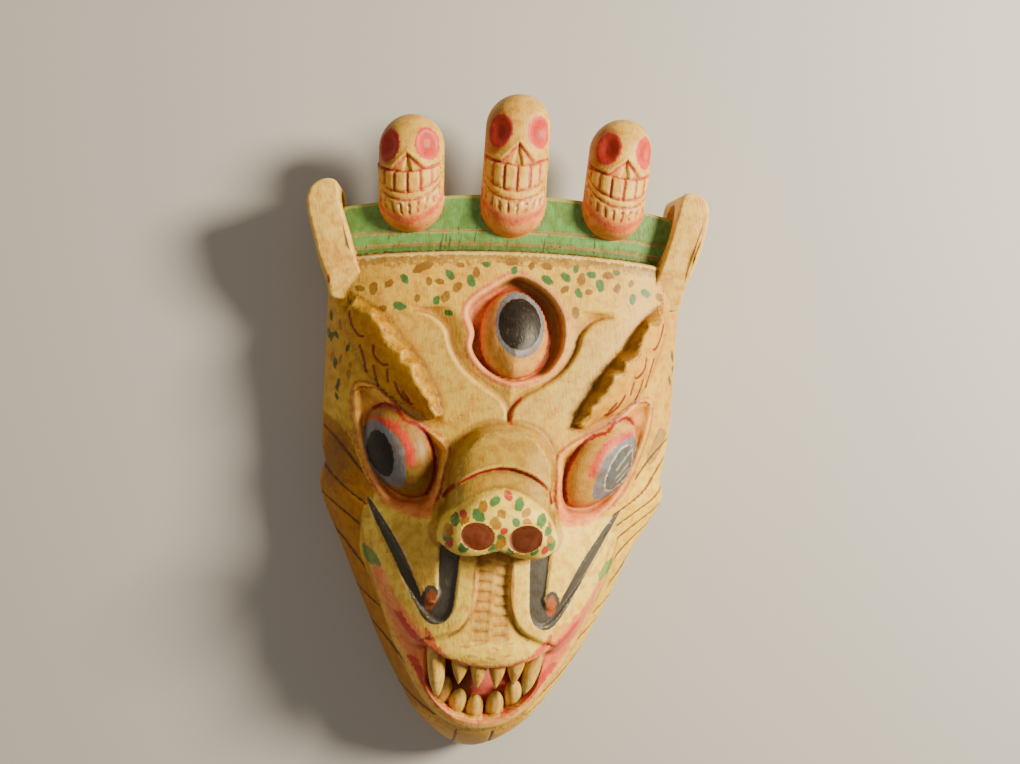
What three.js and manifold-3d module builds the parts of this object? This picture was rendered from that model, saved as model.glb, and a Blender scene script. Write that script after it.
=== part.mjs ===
// A carved and painted wooden mask of a horned guardian beast: one block of wood, hollowed behind,
// with a third eye, flame brows, a fanged mouth and a crown band that carries three skulls.
// Millimetres. The mask lies on the flat rim of its back: +Z points out of the face, +Y towards the
// crown, +X to the viewer's right.
//
// The carving is first drawn symmetrical, in drawing coordinates: u across, v along and z up. At the
// end each point goes to its place on the real block, which leans and tilts a little.
import * as THREE from 'three';
import { mergeVertices } from 'three/addons/utils/BufferGeometryUtils.js';
import Module from 'manifold-3d';

const wasm = await Module();
wasm.setup();

// The block
const HALF_WIDTH = 109.5; // of the face at the temples
const CHIN_V = -204.8; // lowest point of the beard
const JAW_CORNER = { u: 38.5, v: -178 }; // where the sides turn into the chin
const CROWN_TOP_V = 130; // top edge of the crown band, in the middle
const CROWN_CORNER = { u: 97, v: 120 }; // end of that edge, behind the ear
const RIM_WIDTH = 12.5; // flat rim on which the mask lies
const SHOULDER_TOP = 30; // height of the side wall beside the forehead
const SHOULDER_JAW = 14; // and at the chin

// Heights of the main forms above the rim's plane
const BROW_LEVEL = 80; // the face between the brows
const CROWN_FACE = 53; // front of the crown band
const NOSE_TIP = 123;
const LIP_LEVEL = 97; // the upper lip under the nose
const LIP_RIM_RISE = 3; // outer lip above the mane
const CHANNEL_FLOOR = 52; // the pink channel inside the outer lip
const CHANNEL_SLOPE = 8; // how far the side of the muzzle spreads into it
const CHEEK_STEP = 3; // how far the cheek stands above the mane beside it
const PIT_FLOOR = 37; // the deep part of the mouth
const GUM_FLOOR = 49; // the shelf that the lower teeth stand on

// The three skulls on the crown
const SKULL = { radius: 19, depth: 17.5, axisZ: 51 };
const SKULLS = [ // middle and lower end on the band, length, lean and turn in radians
  { u: -1, rootV: 105, length: 84.5, lean: 0, turn: 0 },
  { u: -60.5, rootV: 106.5, length: 68.5, lean: 0.06, turn: -0.15 },
  { u: 59, rootV: 106, length: 71.5, lean: -0.06, turn: 0.1 },
];

// The ears
const EAR_FRONT = 61;
const EAR_BACK = 22;
const EAR_DRAFT = 2.5; // how far each side of the ear spreads towards its back

// The hollow behind
const HOLLOW_TOP_V = 110;
const HOLLOW_ROOF = 58; // its height behind the face
const HOLLOW_NOSE = 26; // how much higher it reaches inside the nose itself
const HOLLOW_SIDES = 12; // columns and rows of its coarse surface
const HOLLOW_ROWS = 15;

// The grid that carries the face
const COLUMNS = 116;
const ROWS = 180;
const TOLERANCE = 1.05; // how far the surface may move when triangles that it can spare are taken out

const clamp = (x, low = 0, high = 1) => Math.min(high, Math.max(low, x));
const mix = (a, b, t) => a + (b - a) * t;

// 0 below low, 1 above high, smooth between
function ease(low, high, x) {
  const t = clamp((x - low) / (high - low));
  return t * t * (3 - 2 * t);
}

// A smooth curve of height against v, through [v, value] pairs in falling or rising order
function profile(pairs) {
  const knots = [...pairs].sort((a, b) => a[0] - b[0]);
  const slope = (i) => {
    const before = knots[Math.max(i - 1, 0)];
    const after = knots[Math.min(i + 1, knots.length - 1)];
    return (after[1] - before[1]) / (after[0] - before[0]);
  };
  return (x) => {
    const last = knots.length - 1;
    if (x <= knots[0][0]) return knots[0][1];
    if (x >= knots[last][0]) return knots[last][1];
    let i = 0;
    while (x > knots[i + 1][0]) i += 1;
    const [x0, y0] = knots[i];
    const [x1, y1] = knots[i + 1];
    const span = x1 - x0;
    const t = (x - x0) / span;
    const t2 = t * t;
    const t3 = t2 * t;
    return (2 * t3 - 3 * t2 + 1) * y0 + (t3 - 2 * t2 + t) * span * slope(i)
      + (3 * t2 - 2 * t3) * y1 + (t3 - t2) * span * slope(i + 1);
  };
}

// A carved line on the face, through a few points
function line(points, closed = false, steps = 6) {
  const curve = new THREE.CatmullRomCurve3(
    points.map(([u, v]) => new THREE.Vector3(u, v, 0)), closed, 'catmullrom', 0.5);
  const path = curve.getPoints(points.length * steps);
  return { path, closed };
}

const mirrored = (points) => points.map(([u, v]) => [-u, v]);

// The nearest point of a line: its distance, its share of the way along, and the side it lies on
function nearest(curve, u, v) {
  let best = { distance: Infinity, share: 0, side: 1, u, v };
  const { path } = curve;
  for (let i = 0; i + 1 < path.length; i += 1) {
    const a = path[i];
    const b = path[i + 1];
    const du = b.x - a.x;
    const dv = b.y - a.y;
    const t = clamp(((u - a.x) * du + (v - a.y) * dv) / (du * du + dv * dv || 1));
    const nu = a.x + t * du;
    const nv = a.y + t * dv;
    const distance = Math.hypot(u - nu, v - nv);
    if (distance < best.distance) {
      const side = Math.sign(du * (v - a.y) - dv * (u - a.x)) || 1;
      best = { distance, share: (i + t) / (path.length - 1), side, u: nu, v: nv };
    }
  }
  return best;
}

// Distance to a closed line, positive inside it
function inside(curve, u, v) {
  let within = false;
  const { path } = curve;
  for (let i = 0; i + 1 < path.length; i += 1) {
    const a = path[i];
    const b = path[i + 1];
    if ((a.y > v) !== (b.y > v) && u < a.x + ((v - a.y) / (b.y - a.y)) * (b.x - a.x)) within = !within;
  }
  const { distance } = nearest(curve, u, v);
  return within ? distance : -distance;
}

// Carved lines, each on the right half of the face unless its name says otherwise
const THIRD_EYE = line([[2, 82], [17, 75], [26, 64], [29.5, 51], [28, 38], [21, 27], [12, 22.5], [0, 20],
  [-10, 23], [-20, 30], [-25.5, 39], [-24.5, 48], [-28, 59], [-24, 67], [-11, 76]], true);
const FOREHEAD_FOLD = line([[61, 61], [47, 57.5], [39, 50], [36, 40], [29, 28.5], [18, 19.5], [7, 12.5],
  [1.5, 6], [0.3, 0]]);
const BROW_FOOT = line([[90, 68], [80, 61], [70, 52], [62, 41], [55, 33], [48, 22], [42, 12], [37, 0]]);
const EYE_RIM = line([[90.5, 13], [84, 16.5], [76, 14], [67, 7], [57, -1], [46, -6.5], [37, -12], [30, -20],
  [31, -32], [33, -46], [38, -58], [47, -58.5], [57, -56.5], [65, -52], [73, -42], [80, -30], [85, -17],
  [89, -4]], true);
const NOSE_ROOT = line([[34, -72], [33.5, -61], [31.5, -46], [31, -24], [22, -9], [12, -3], [0, -1],
  [-12, -3], [-22, -9], [-31, -24], [-31.5, -46], [-33.5, -61], [-34, -72]]);
const NOSE_FOLD = line([[33, -50], [29.5, -43], [25, -35.5], [16, -29], [6, -25.6], [0, -25]]);
const NOSE_FACE_TOP = line([[34, -60], [28, -52], [18, -43.4], [9, -38.6], [0, -36.6]]);
const MUZZLE = [[72, -55], [70, -72], [64.5, -88], [56, -106], [49, -118], [40, -127], [27, -136],
  [14, -140.5], [0, -142.5]];
const LIP_INNER = [[72.5, -66], [68, -86], [60, -107], [48.5, -132], [39, -147], [27.5, -163.5],
  [14, -173.5], [0, -176.5]];
const LIP_OUTER = [[75, -64], [71, -84], [63.5, -107], [53, -134], [43.5, -150.5], [31, -168],
  [16, -179], [0, -183]];
const PHILTRUM = line([[10, -74], [10, -94], [12.5, -106], [19, -116], [32, -123]]);
const MOUSTACHE = line([[31, -70], [31, -92], [29.5, -99], [33, -104], [38, -99], [56, -73], [75, -52],
  [77, -53], [60, -79], [44, -101], [36, -111], [29, -114.5], [23, -111], [20, -101], [20, -70]], true);

// A region bounded by a line of the right half and its mirror image, closed over the brow
function apron(points, top) {
  const right = line(points).path;
  const left = [...right].reverse().map((p) => new THREE.Vector3(-p.x, p.y, 0));
  const path = [new THREE.Vector3(0, top, 0), ...right, ...left, new THREE.Vector3(0, top, 0)];
  return { path, closed: true };
}
const MUZZLE_REGION = apron(MUZZLE, -40);
const MOUTH_REGION = apron(LIP_INNER, -50);
const LIP_REGION = apron(LIP_OUTER, -48);

// Outline of the block
const sideWidth = profile([[CROWN_CORNER.v, CROWN_CORNER.u], [96, HALF_WIDTH - 4.5], [80, HALF_WIDTH - 1.5],
  [56, HALF_WIDTH], [19, HALF_WIDTH - 0.5], [-24, HALF_WIDTH - 4], [-34, HALF_WIDTH - 7],
  [-46, HALF_WIDTH - 5.5], [-60, HALF_WIDTH - 10], [-80, HALF_WIDTH - 20], [-117, HALF_WIDTH - 37],
  [-147, HALF_WIDTH - 52], [JAW_CORNER.v, JAW_CORNER.u]]);
const CHIN_POWER = 1.6;
function chinV(u) {
  return CHIN_V + (JAW_CORNER.v - CHIN_V) * clamp(Math.abs(u) / JAW_CORNER.u) ** CHIN_POWER;
}
function crownV(u) {
  return CROWN_TOP_V - (CROWN_TOP_V - CROWN_CORNER.v) * (u / CROWN_CORNER.u) ** 2;
}
// Half the block's width at any v, the chin included
function blockWidth(v) {
  if (v >= JAW_CORNER.v) return sideWidth(v);
  const share = clamp((v - CHIN_V) / (JAW_CORNER.v - CHIN_V), 0.0001);
  return JAW_CORNER.u * share ** (1 / CHIN_POWER);
}

// The plain dome under the carving: a superellipse across, a profile along
const domeTop = profile([[130, 60], [96, 63], [60, 70], [20, 77], [0, BROW_LEVEL], [-30, BROW_LEVEL],
  [-60, 76], [-90, 71], [-135, 70], [-165, 66], [-183, 56], [-195, 40], [-203, 22], [CHIN_V, 13]]);
const domePower = profile([[96, 2.8], [50, 2.4], [0, 1.8], [-24, 1.65], [-60, 1.8], [-90, 2.2], [-200, 2.2]]);
const shoulder = profile([[96, SHOULDER_TOP], [0, SHOULDER_TOP - 4], [-100, SHOULDER_JAW + 6],
  [-200, SHOULDER_JAW]]);
function dome(u, v) {
  const share = clamp(Math.abs(u) / blockWidth(v));
  const power = domePower(v);
  const side = Math.min(shoulder(v), domeTop(v));
  return mix(side, domeTop(v), (1 - share ** power) ** (1 / power));
}

// The step from the forehead back to the crown band
const ledgeV = (u) => 95.8 - 4.8 * (u / 90) ** 2;
function cutCrown(u, v, z) {
  const band = CROWN_FACE - 5 * (u / CROWN_CORNER.u) ** 2;
  return mix(z, band, ease(-0.5, 1.5, v - ledgeV(u)));
}

// The fold round the third eye: a gentle slope inside the line, a steep edge outside it
const FOLD_DEPTH = 4;
const FOLD_SLOPE = 11;
function cutForehead(u, v, z) {
  const foot = nearest(FOREHEAD_FOLD, Math.abs(u), v);
  const within = foot.side < 0 || v > 60;
  const depth = within && v < 62
    ? FOLD_DEPTH * (1 - ease(0, FOLD_SLOPE, foot.distance))
    : FOLD_DEPTH * (1 - ease(0, 1.6, foot.distance));
  const fade = 1 - ease(0.0, 0.14, 0.14 - foot.share);
  return z - depth * fade;
}

// The third eye: a pit with an egg-shaped ball, keeled below its iris
const THIRD_BALL = { u: 0, v: 47, across: 20, along: 26.5, rise: 17 };
const PIT_DEPTH = 10;
function carveThirdEye(u, v, z) {
  const pit = z - PIT_DEPTH * ease(0, 3, inside(THIRD_EYE, u, v));
  const q = Math.hypot((u - THIRD_BALL.u) / THIRD_BALL.across, (v - THIRD_BALL.v) / THIRD_BALL.along);
  if (q >= 1) return pit;
  const keel = 2.5 * clamp(1 - Math.abs(u) / 9) * ease(46, 36, v) * ease(0, 0.3, 1 - q);
  return Math.max(pit, z - PIT_DEPTH + THIRD_BALL.rise * Math.sqrt(1 - q * q) + keel);
}

// A brow: a steep wall on its inner side, up to a scalloped crest, and a slope down to its outer edge
const browWidth = profile([[0, 14], [0.1, 21], [0.3, 26], [0.6, 26], [0.8, 20], [1, 8]]);
const browRise = profile([[0, 5], [0.2, 11], [0.5, 14], [0.85, 14], [1, 9]]);
const BROW_CHIPS = 6; // rough cuts of the chisel along the wall
const BROW_WALL = 4; // width of the wall in plan, to which each cut adds up to CHIP_DEPTH
const CHIP_DEPTH = 5.5;
function raiseBrow(u, v, z) {
  const foot = nearest(BROW_FOOT, Math.abs(u), v);
  const out = foot.side < 0 ? -foot.distance : foot.distance;
  if (out <= 0 || foot.share <= 0 || foot.share >= 1) return z;
  const width = browWidth(foot.share);
  const turn = foot.share * BROW_CHIPS + 0.45 * Math.sin(foot.share * 19)
    + 0.3 * Math.sin(foot.share * 43 + 1);
  const chip = Math.abs(Math.sin(turn * Math.PI)) * (0.6 + 0.4 * Math.sin(foot.share * 27 + 2));
  const wall = Math.min(BROW_WALL + CHIP_DEPTH * chip, width * 0.6);
  if (out >= width) return z;
  const rise = browRise(foot.share);
  if (out < wall) return z + rise * ease(0, wall, out) ** 0.7;
  const fall = (out - wall) / (width - wall);
  return z + mix(rise, 2.5, fall ** 1.3);
}

// An eye: a lid roll, a trough and a long tilted ball
const BALL = { u: 58.7, v: -23, along: 30, across: 18.5, rise: 20, sunk: 8.5, tilt: 0.6, point: 1.85 };
const TROUGH = 7.5;
const PETAL = 3.5; // depth of the shallow part beyond the upper corner of the ball
function ballRadius(u, v) {
  const du = u - BALL.u;
  const dv = v - BALL.v;
  const along = du * Math.sin(BALL.tilt) + dv * Math.cos(BALL.tilt);
  const across = du * Math.cos(BALL.tilt) - dv * Math.sin(BALL.tilt);
  const q = Math.abs(along / BALL.along) ** BALL.point + Math.abs(across / BALL.across) ** BALL.point;
  return q ** (1 / BALL.point);
}
function carveEye(u, v, z) {
  const a = Math.abs(u);
  const within = inside(EYE_RIM, a, v);
  const lid = 2.2 * ease(0, 1.5, within) * ease(6, 2.5, within);
  const socket = z + lid - mix(TROUGH, PETAL, ease(-14, 4, v)) * ease(2.5, 8, within);
  const q = ballRadius(a, v);
  if (q >= 1) return socket;
  return Math.max(socket, z - BALL.sunk + BALL.rise * Math.sqrt(1 - q * q));
}

// The muzzle: the upper lip and cheeks, cut off steeply over the mouth and its channel
const lipTop = profile([[-50, 90], [-70, LIP_LEVEL], [-100, LIP_LEVEL], [-120, LIP_LEVEL - 2],
  [-132, LIP_LEVEL - 5], [-140, LIP_LEVEL - 10]]);
function muzzle(u, v) {
  const a = Math.abs(u);
  const cheek = lipTop(v) - 38 * (a / 72) ** 2.2;
  const strip = nearest(PHILTRUM, a, v);
  const philtrum = strip.side < 0 ? 3.5 * ease(0, 2.5, strip.distance) * ease(-136, -118, v) : 0;
  const sunk = 2.2 * ease(0, 1.5, inside(MOUSTACHE, a, v));
  return cheek - philtrum - sunk;
}
function mouthFloor(u, v) {
  const tongue = 10 * clamp(1 - Math.abs(u + 3) / 20);
  const gum = ease(-150, -162, v);
  const channel = Math.max(ease(-134, -122, v), ease(24, 33, Math.abs(u)));
  return mix(mix(PIT_FLOOR + tongue, GUM_FLOOR, gum), CHANNEL_FLOOR, channel);
}
function carveMouth(u, v, z) {
  const rim = inside(LIP_REGION, u, v);
  const mouth = inside(MOUTH_REGION, u, v);
  let out = z + LIP_RIM_RISE * ease(-0.5, 1.5, rim);
  const cut = ease(0, 2.5, mouth) * ease(-70, -90, v);
  out = mix(out, Math.min(mouthFloor(u, v), out), cut);
  const upper = inside(MUZZLE_REGION, u, v);
  const a = Math.abs(u);
  const foot = mix(-0.5, -CHANNEL_SLOPE, ease(28, 46, a) * ease(-76, -94, v));
  const cheek = Math.max(muzzle(u, v), z + CHEEK_STEP * ease(48, 60, a) * ease(-46, -54, v));
  return mix(out, Math.max(mix(z, cheek, ease(-46, -60, v)), out), ease(foot, 3, upper));
}

// The nose: a bulb from the brow, a fold across it, and a broad front with two nostrils
const noseTop = profile([[0, BROW_LEVEL - 4], [-2, BROW_LEVEL + 4], [-6, BROW_LEVEL + 11],
  [-14, BROW_LEVEL + 18], [-25, NOSE_TIP - 18], [-40, NOSE_TIP - 8], [-50, NOSE_TIP - 1],
  [-58, NOSE_TIP], [-68, NOSE_TIP - 4], [-76, NOSE_TIP - 10]]);
const NOSE_WIDTH = 32.5; // half of it at the root
const WING_WIDTH = 33.5; // and at the nostrils
const noseFoot = profile([[0, -71], [12, -74.5], [23, -74], [31.5, -69]]);
function raiseNose(u, v, z) {
  const a = Math.abs(u);
  if (a >= WING_WIDTH || v > 0 || v < -80) return z;
  const top = nearest(NOSE_ROOT, u, v);
  const wide = ease(-50, -64, v);
  const edge = ease(0, mix(7, 1, wide), top.side < 0 ? -1 : top.distance);
  const share = clamp(a / mix(NOSE_WIDTH, WING_WIDTH, wide));
  const round = (1 - share ** mix(2.6, 4.5, wide)) ** mix(0.5, 0.25, wide);
  const fold = nearest(NOSE_FOLD, a, v);
  const face = nearest(NOSE_FACE_TOP, a, v);
  const below = fold.side < 0 ? 0 : 1;
  const sunk = below * (4.5 * ease(0, 2, fold.distance)) * (face.side > 0 ? ease(2.5, 0, face.distance) : 1);
  const wing = 3 * ease(15, 4, Math.hypot(a - 19, v + 64));
  const height = mix(z, noseTop(v) - sunk + wing, edge * round);
  const cut = ease(2, -1, v - noseFoot(a));
  return mix(Math.max(height, z), z, cut);
}

function faceHeight(u, v) {
  let z = dome(u, v);
  z = cutForehead(u, v, z);
  z = carveThirdEye(u, v, z);
  z = carveEye(u, v, z);
  z = raiseBrow(u, v, z);
  z = carveMouth(u, v, z);
  z = raiseNose(u, v, z);
  return cutCrown(u, v, z);
}

// A patch of the (u, v) plane with four curved sides, from s and t between 0 and 1
function patch(inset, topDrop) {
  const half = (v) => Math.max(blockWidth(v) - inset, 1);
  const lowV = JAW_CORNER.v + inset * 0.6;
  const left = (t) => {
    const v = mix(lowV, CROWN_CORNER.v - topDrop, t);
    return [-half(v), v];
  };
  const cornerU = half(lowV);
  const bottom = (s) => {
    const u = cornerU * (2 * s - 1);
    return [u, lowV + (chinV((u * JAW_CORNER.u) / cornerU) - JAW_CORNER.v) * (1 - inset / 40)];
  };
  const topU = half(CROWN_CORNER.v - topDrop);
  const top = (s) => {
    const u = topU * (2 * s - 1);
    return [u, crownV((u * CROWN_CORNER.u) / topU) - topDrop];
  };
  return (s, t) => {
    const [lu, lv] = left(t);
    const [bu, bv] = bottom(s);
    const [tu, tv] = top(s);
    const ru = -lu;
    const corner = (i) => (1 - s) * (1 - t) * bottom(0)[i] + s * (1 - t) * bottom(1)[i]
      + (1 - s) * t * top(0)[i] + s * t * top(1)[i];
    return [(1 - s) * lu + s * ru + (1 - t) * bu + t * tu - corner(0),
      lv + (1 - t) * bv + t * tv - corner(1)];
  };
}

// A closed solid under a grid of heights: its front, its walls down to floor, and its flat underside
function solidUnder(place, height, columns, rows, floor) {
  const points = [];
  for (let j = 0; j <= rows; j += 1) {
    for (let i = 0; i <= columns; i += 1) {
      const [u, v] = place(i / columns, j / rows);
      points.push(new THREE.Vector3(u, v, height(u, v)));
    }
  }
  const index = (i, j) => j * (columns + 1) + i;
  const faces = [];
  for (let j = 0; j < rows; j += 1) {
    for (let i = 0; i < columns; i += 1) {
      const [a, b, c, d] = [index(i, j), index(i + 1, j), index(i + 1, j + 1), index(i, j + 1)];
      const across = Math.abs(points[a].z - points[c].z) <= Math.abs(points[b].z - points[d].z);
      if (across) faces.push([a, b, c], [a, c, d]);
      else faces.push([a, b, d], [b, c, d]);
    }
  }
  const loop = [];
  for (let i = 0; i < columns; i += 1) loop.push(index(i, 0));
  for (let j = 0; j < rows; j += 1) loop.push(index(columns, j));
  for (let i = columns; i > 0; i -= 1) loop.push(index(i, rows));
  for (let j = rows; j > 0; j -= 1) loop.push(index(0, j));
  const base = points.length;
  loop.forEach((k) => points.push(new THREE.Vector3(points[k].x, points[k].y, floor)));
  loop.forEach((k, n) => {
    const next = (n + 1) % loop.length;
    faces.push([k, base + n, base + next], [k, base + next, loop[next]]);
  });
  const outline = loop.map((k) => new THREE.Vector2(points[k].x, points[k].y));
  THREE.ShapeUtils.triangulateShape(outline, []).forEach(([a, b, c]) => {
    faces.push([base + a, base + c, base + b]);
  });
  return solid(points, faces);
}

// Points and triangles as a solid that can be joined and cut
function solid(points, faces) {
  const vertProperties = new Float32Array(points.flatMap((p) => [p.x, p.y, p.z]));
  const triVerts = new Uint32Array(faces.flat());
  return new wasm.Manifold(new wasm.Mesh({ numProp: 3, vertProperties, triVerts }));
}

// The same from a three.js geometry, placed by a matrix
function solidOf(geometry, matrix = new THREE.Matrix4()) {
  const plain = geometry.clone().applyMatrix4(matrix);
  plain.deleteAttribute('normal');
  plain.deleteAttribute('uv');
  const merged = mergeVertices(plain, 1e-4);
  const { position } = merged.attributes;
  return new wasm.Manifold(new wasm.Mesh({
    numProp: 3,
    vertProperties: Float32Array.from(position.array),
    triVerts: Uint32Array.from(merged.index.array),
  }));
}

// Where a form stands: its middle, then its turn about u, v and z, then its size along each
function placed(middle, turn = [0, 0, 0], size = [1, 1, 1]) {
  return new THREE.Matrix4().compose(
    new THREE.Vector3(...middle),
    new THREE.Quaternion().setFromEuler(new THREE.Euler(...turn, 'ZYX')),
    new THREE.Vector3(...size));
}

// The hollow: a low vault that keeps a thick wall behind the face
const vault = profile([[112, 16], [98, 34], [70, 48], [20, HOLLOW_ROOF - 2], [-50, HOLLOW_ROOF],
  [-95, 48], [-125, 30], [-160, 24], [-185, 14]]);
function hollowHeight(u, v) {
  const share = clamp(Math.abs(u) / Math.max(blockWidth(v) - RIM_WIDTH, 1));
  const nose = HOLLOW_NOSE * ease(34, 6, Math.abs(u)) * ease(-88, -62, v) * ease(2, -24, v);
  return mix(10, Math.max(vault(v), 10), (1 - share ** 2) ** 0.5) + nose;
}
const HOLLOW_DEPTH = 6; // how far the cutting form reaches below the rim

// One skull: a round-ended post with sockets, a nose, cheekbones and two rows of teeth
function skull({ u, rootV, length, lean, turn }) {
  const straight = length - 2 * SKULL.radius;
  const profilePoints = [];
  const arcs = 3;
  for (let i = 0; i <= arcs; i += 1) {
    const angle = -Math.PI / 2 + (i / arcs) * (Math.PI / 2);
    profilePoints.push(new THREE.Vector2(Math.cos(angle) * SKULL.radius, Math.sin(angle) * SKULL.radius));
  }
  for (let i = 0; i <= arcs; i += 1) {
    const angle = (i / arcs) * (Math.PI / 2);
    profilePoints.push(new THREE.Vector2(
      Math.cos(angle) * SKULL.radius, straight + Math.sin(angle) * SKULL.radius));
  }
  profilePoints[0].x = 0;
  profilePoints[profilePoints.length - 1].x = 0;
  const around = 12;
  const flatten = SKULL.depth / SKULL.radius;
  let post = solidOf(new THREE.LatheGeometry(profilePoints, around), placed([0, 0, 0], [0, 0, 0], [1, 1, flatten]));
  const share = (k) => -SKULL.radius + k * length; // a height on the skull, from its lower end
  const cut = (geometry, middle, twist, size) => {
    post = post.subtract(solidOf(geometry, placed(middle, twist, size)));
  };
  const ball = new THREE.IcosahedronGeometry(1, 1);
  const box = new THREE.BoxGeometry(1, 1, 1);
  for (const side of [-1, 1]) {
    cut(ball, [side * 12, share(0.71), SKULL.depth * 0.74], [0, side * 0.6, 0], [7.2, 8.2, 6.6]);
  }
  const wedge = new THREE.CylinderGeometry(1, 1, 1, 3);
  cut(wedge, [0, share(0.545), SKULL.depth], [-Math.PI / 2, 0, 0], [5, 5, 6]);
  const teethTop = share(0.465);
  const teethFoot = share(0.3);
  const slots = 5;
  for (let i = 0; i < slots; i += 1) {
    const angle = (i - (slots - 1) / 2) * 0.4;
    const middle = [Math.sin(angle) * SKULL.radius, (teethTop + teethFoot) / 2, Math.cos(angle) * SKULL.depth];
    cut(box, middle, [0, angle, 0], [1.6, teethTop - teethFoot, 3]);
  }
  const groove = new THREE.TorusGeometry(SKULL.radius + 0.4, 1.9, 4, around);
  cut(groove, [0, share(0.26), 0], [Math.PI / 2, 0, 0], [1, flatten, 1]);
  const turned = placed([u, rootV + SKULL.radius, SKULL.axisZ], [0, turn, lean]).elements;
  return post.simplify(TOLERANCE / 3).transform([...turned]);
}

// One ear: a leaf that stands up beside the crown, cupped on its inner side
const EAR_OUTLINE = [[84, 70], [90, 86], [95, 106], [99, 124], [101.5, 133], [109, 134], [116, 128],
  [117, 116], [113, 94], [108, 78], [104, 66]];
const EAR_BEVEL = 1.6;
const EAR_SINK = 9; // how much lower its foot is than its tip
function ear(side) {
  const shape = new THREE.Shape(EAR_OUTLINE.map(([u, v]) => new THREE.Vector2(u, v)));
  const geometry = new THREE.ExtrudeGeometry(shape, {
    depth: EAR_FRONT - EAR_BACK - EAR_BEVEL, steps: 1, bevelEnabled: true, bevelSegments: 1,
    bevelSize: EAR_BEVEL, bevelThickness: EAR_BEVEL, bevelOffset: -EAR_BEVEL,
  });
  const { position } = geometry.attributes;
  for (let i = 0; i < position.count; i += 1) {
    const back = 1 - clamp(position.getZ(i) / (EAR_FRONT - EAR_BACK));
    const middle = 92 + (position.getY(i) - 62) * 0.24;
    const outward = Math.sign(position.getX(i) - middle);
    position.setX(i, position.getX(i) + outward * EAR_DRAFT * back);
    const sunk = EAR_SINK * (1 - ease(66, 100, position.getY(i))) * (1 - back);
    position.setZ(i, position.getZ(i) - sunk);
  }
  const leaf = solidOf(geometry, placed([0, 0, EAR_BACK]));
  const scoop = solidOf(new THREE.IcosahedronGeometry(1, 2),
    placed([87, 112, EAR_BACK + 21], [0, 0, -0.24], [13.5, 24, 14]));
  const cupped = leaf.subtract(scoop);
  return side > 0 ? cupped : cupped.mirror([1, 0, 0]);
}

// A tooth is a round peg from root to tip, drawn in towards the tip by its taper
function tooth(root, tip, across, depth, taper) {
  const from = new THREE.Vector3(...root);
  const to = new THREE.Vector3(...tip);
  const length = from.distanceTo(to);
  const rings = [0, 0.5, 0.82, 1];
  const half = rings.map((k) => new THREE.Vector2(across * Math.max(1 - k ** taper, 0), k * length));
  half[half.length - 1].x = 0;
  const form = new THREE.LatheGeometry([new THREE.Vector2(0, 0), ...half], 7);
  form.scale(1, 1, depth / across);
  const turn = new THREE.Quaternion().setFromUnitVectors(
    new THREE.Vector3(0, 1, 0), to.clone().sub(from).normalize());
  return solidOf(form, new THREE.Matrix4().compose(from, turn, new THREE.Vector3(1, 1, 1)));
}
const UPPER_TEETH = [-14, -3.5, 7, 17];
const LOWER_TEETH = [-20.5, -11.5, -1.5, 10, 20];
function teeth() {
  const upper = UPPER_TEETH.map((u) => tooth([u, -130, 80], [u, -153.5 + 0.012 * u * u, 79], 5.8, 6, 2.4));
  const lower = LOWER_TEETH.map((u) => tooth(
    [u * 1.05, -179 + 0.024 * u * u, 47], [u * 0.98, -162 + 0.024 * u * u, 60], 5.4, 6, 5));
  const tusks = [
    tooth([-29.5, -122, 77], [-25, -160.5, 76], 5.3, 6.5, 5),
    tooth([30.5, -124, 76], [24, -157, 74], 4.8, 6, 5),
  ];
  return [...upper, ...lower, ...tusks];
}

// A nostril is a round-ended hole that runs in and slightly up
function nostril(side) {
  return solidOf(new THREE.IcosahedronGeometry(1, 2),
    placed([side * 13, -62, NOSE_TIP - 4], [-0.25, 0, side * 0.15], [9.5, 7.5, 17]));
}

// Where the hand-carved block departs from the drawing: its middle line wanders, its crown tilts and
// its right side is cut closer
const lean = profile([[190, -1.5], [100, -1], [60, 1.8], [20, 2.2], [-60, -1.8], [-140, -2.2],
  [CHIN_V, -4.5]]);
const CROWN_TILT = 0.043;
const rightTrim = profile([[190, 2.5], [110, 3], [85, 5], [50, 7], [28, 6.4], [0, 3.6], [-25, 1.5], [-40, -2],
  [-55, 0], [-75, 2], [-100, 1], [-130, 0]]);
const EAR_SPREAD = 2.5; // how far the left ear leans outwards
function onTheBlock(point) {
  const v = point.y;
  const spread = EAR_SPREAD * ease(84, 98, -point.x) * ease(98, 124, v);
  const u = point.x - rightTrim(v) * ease(62, 104, point.x) - spread;
  return point.set(u + lean(v), v + CROWN_TILT * ease(-30, 95, v) * point.x, point.z);
}

function carveMask() {
  let block = solidUnder(patch(0, 0), faceHeight, COLUMNS, ROWS, 0).simplify(TOLERANCE);
  const parts = [
    ...SKULLS.map(skull), ear(-1), ear(1), ...teeth(),
  ];
  for (const part of parts) block = block.add(part);
  for (const side of [-1, 1]) block = block.subtract(nostril(side));
  const hollow = solidUnder(
    patch(RIM_WIDTH, CROWN_TOP_V - HOLLOW_TOP_V), hollowHeight, HOLLOW_SIDES, HOLLOW_ROWS, -HOLLOW_DEPTH);
  return block.subtract(hollow);
}

function geometryOf(carved) {
  const mesh = carved.getMesh();
  const geometry = new THREE.BufferGeometry();
  const positions = Float32Array.from(mesh.vertProperties);
  geometry.setAttribute('position', new THREE.BufferAttribute(positions, 3));
  geometry.setIndex(new THREE.BufferAttribute(Uint32Array.from(mesh.triVerts), 1));
  const { position } = geometry.attributes;
  const point = new THREE.Vector3();
  for (let i = 0; i < position.count; i += 1) {
    onTheBlock(point.fromBufferAttribute(position, i));
    position.setXYZ(i, point.x, point.y, point.z);
  }
  geometry.computeBoundingBox();
  const middle = geometry.boundingBox.getCenter(new THREE.Vector3());
  geometry.translate(-middle.x, -middle.y, 0);
  geometry.computeVertexNormals();
  return geometry;
}

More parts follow.
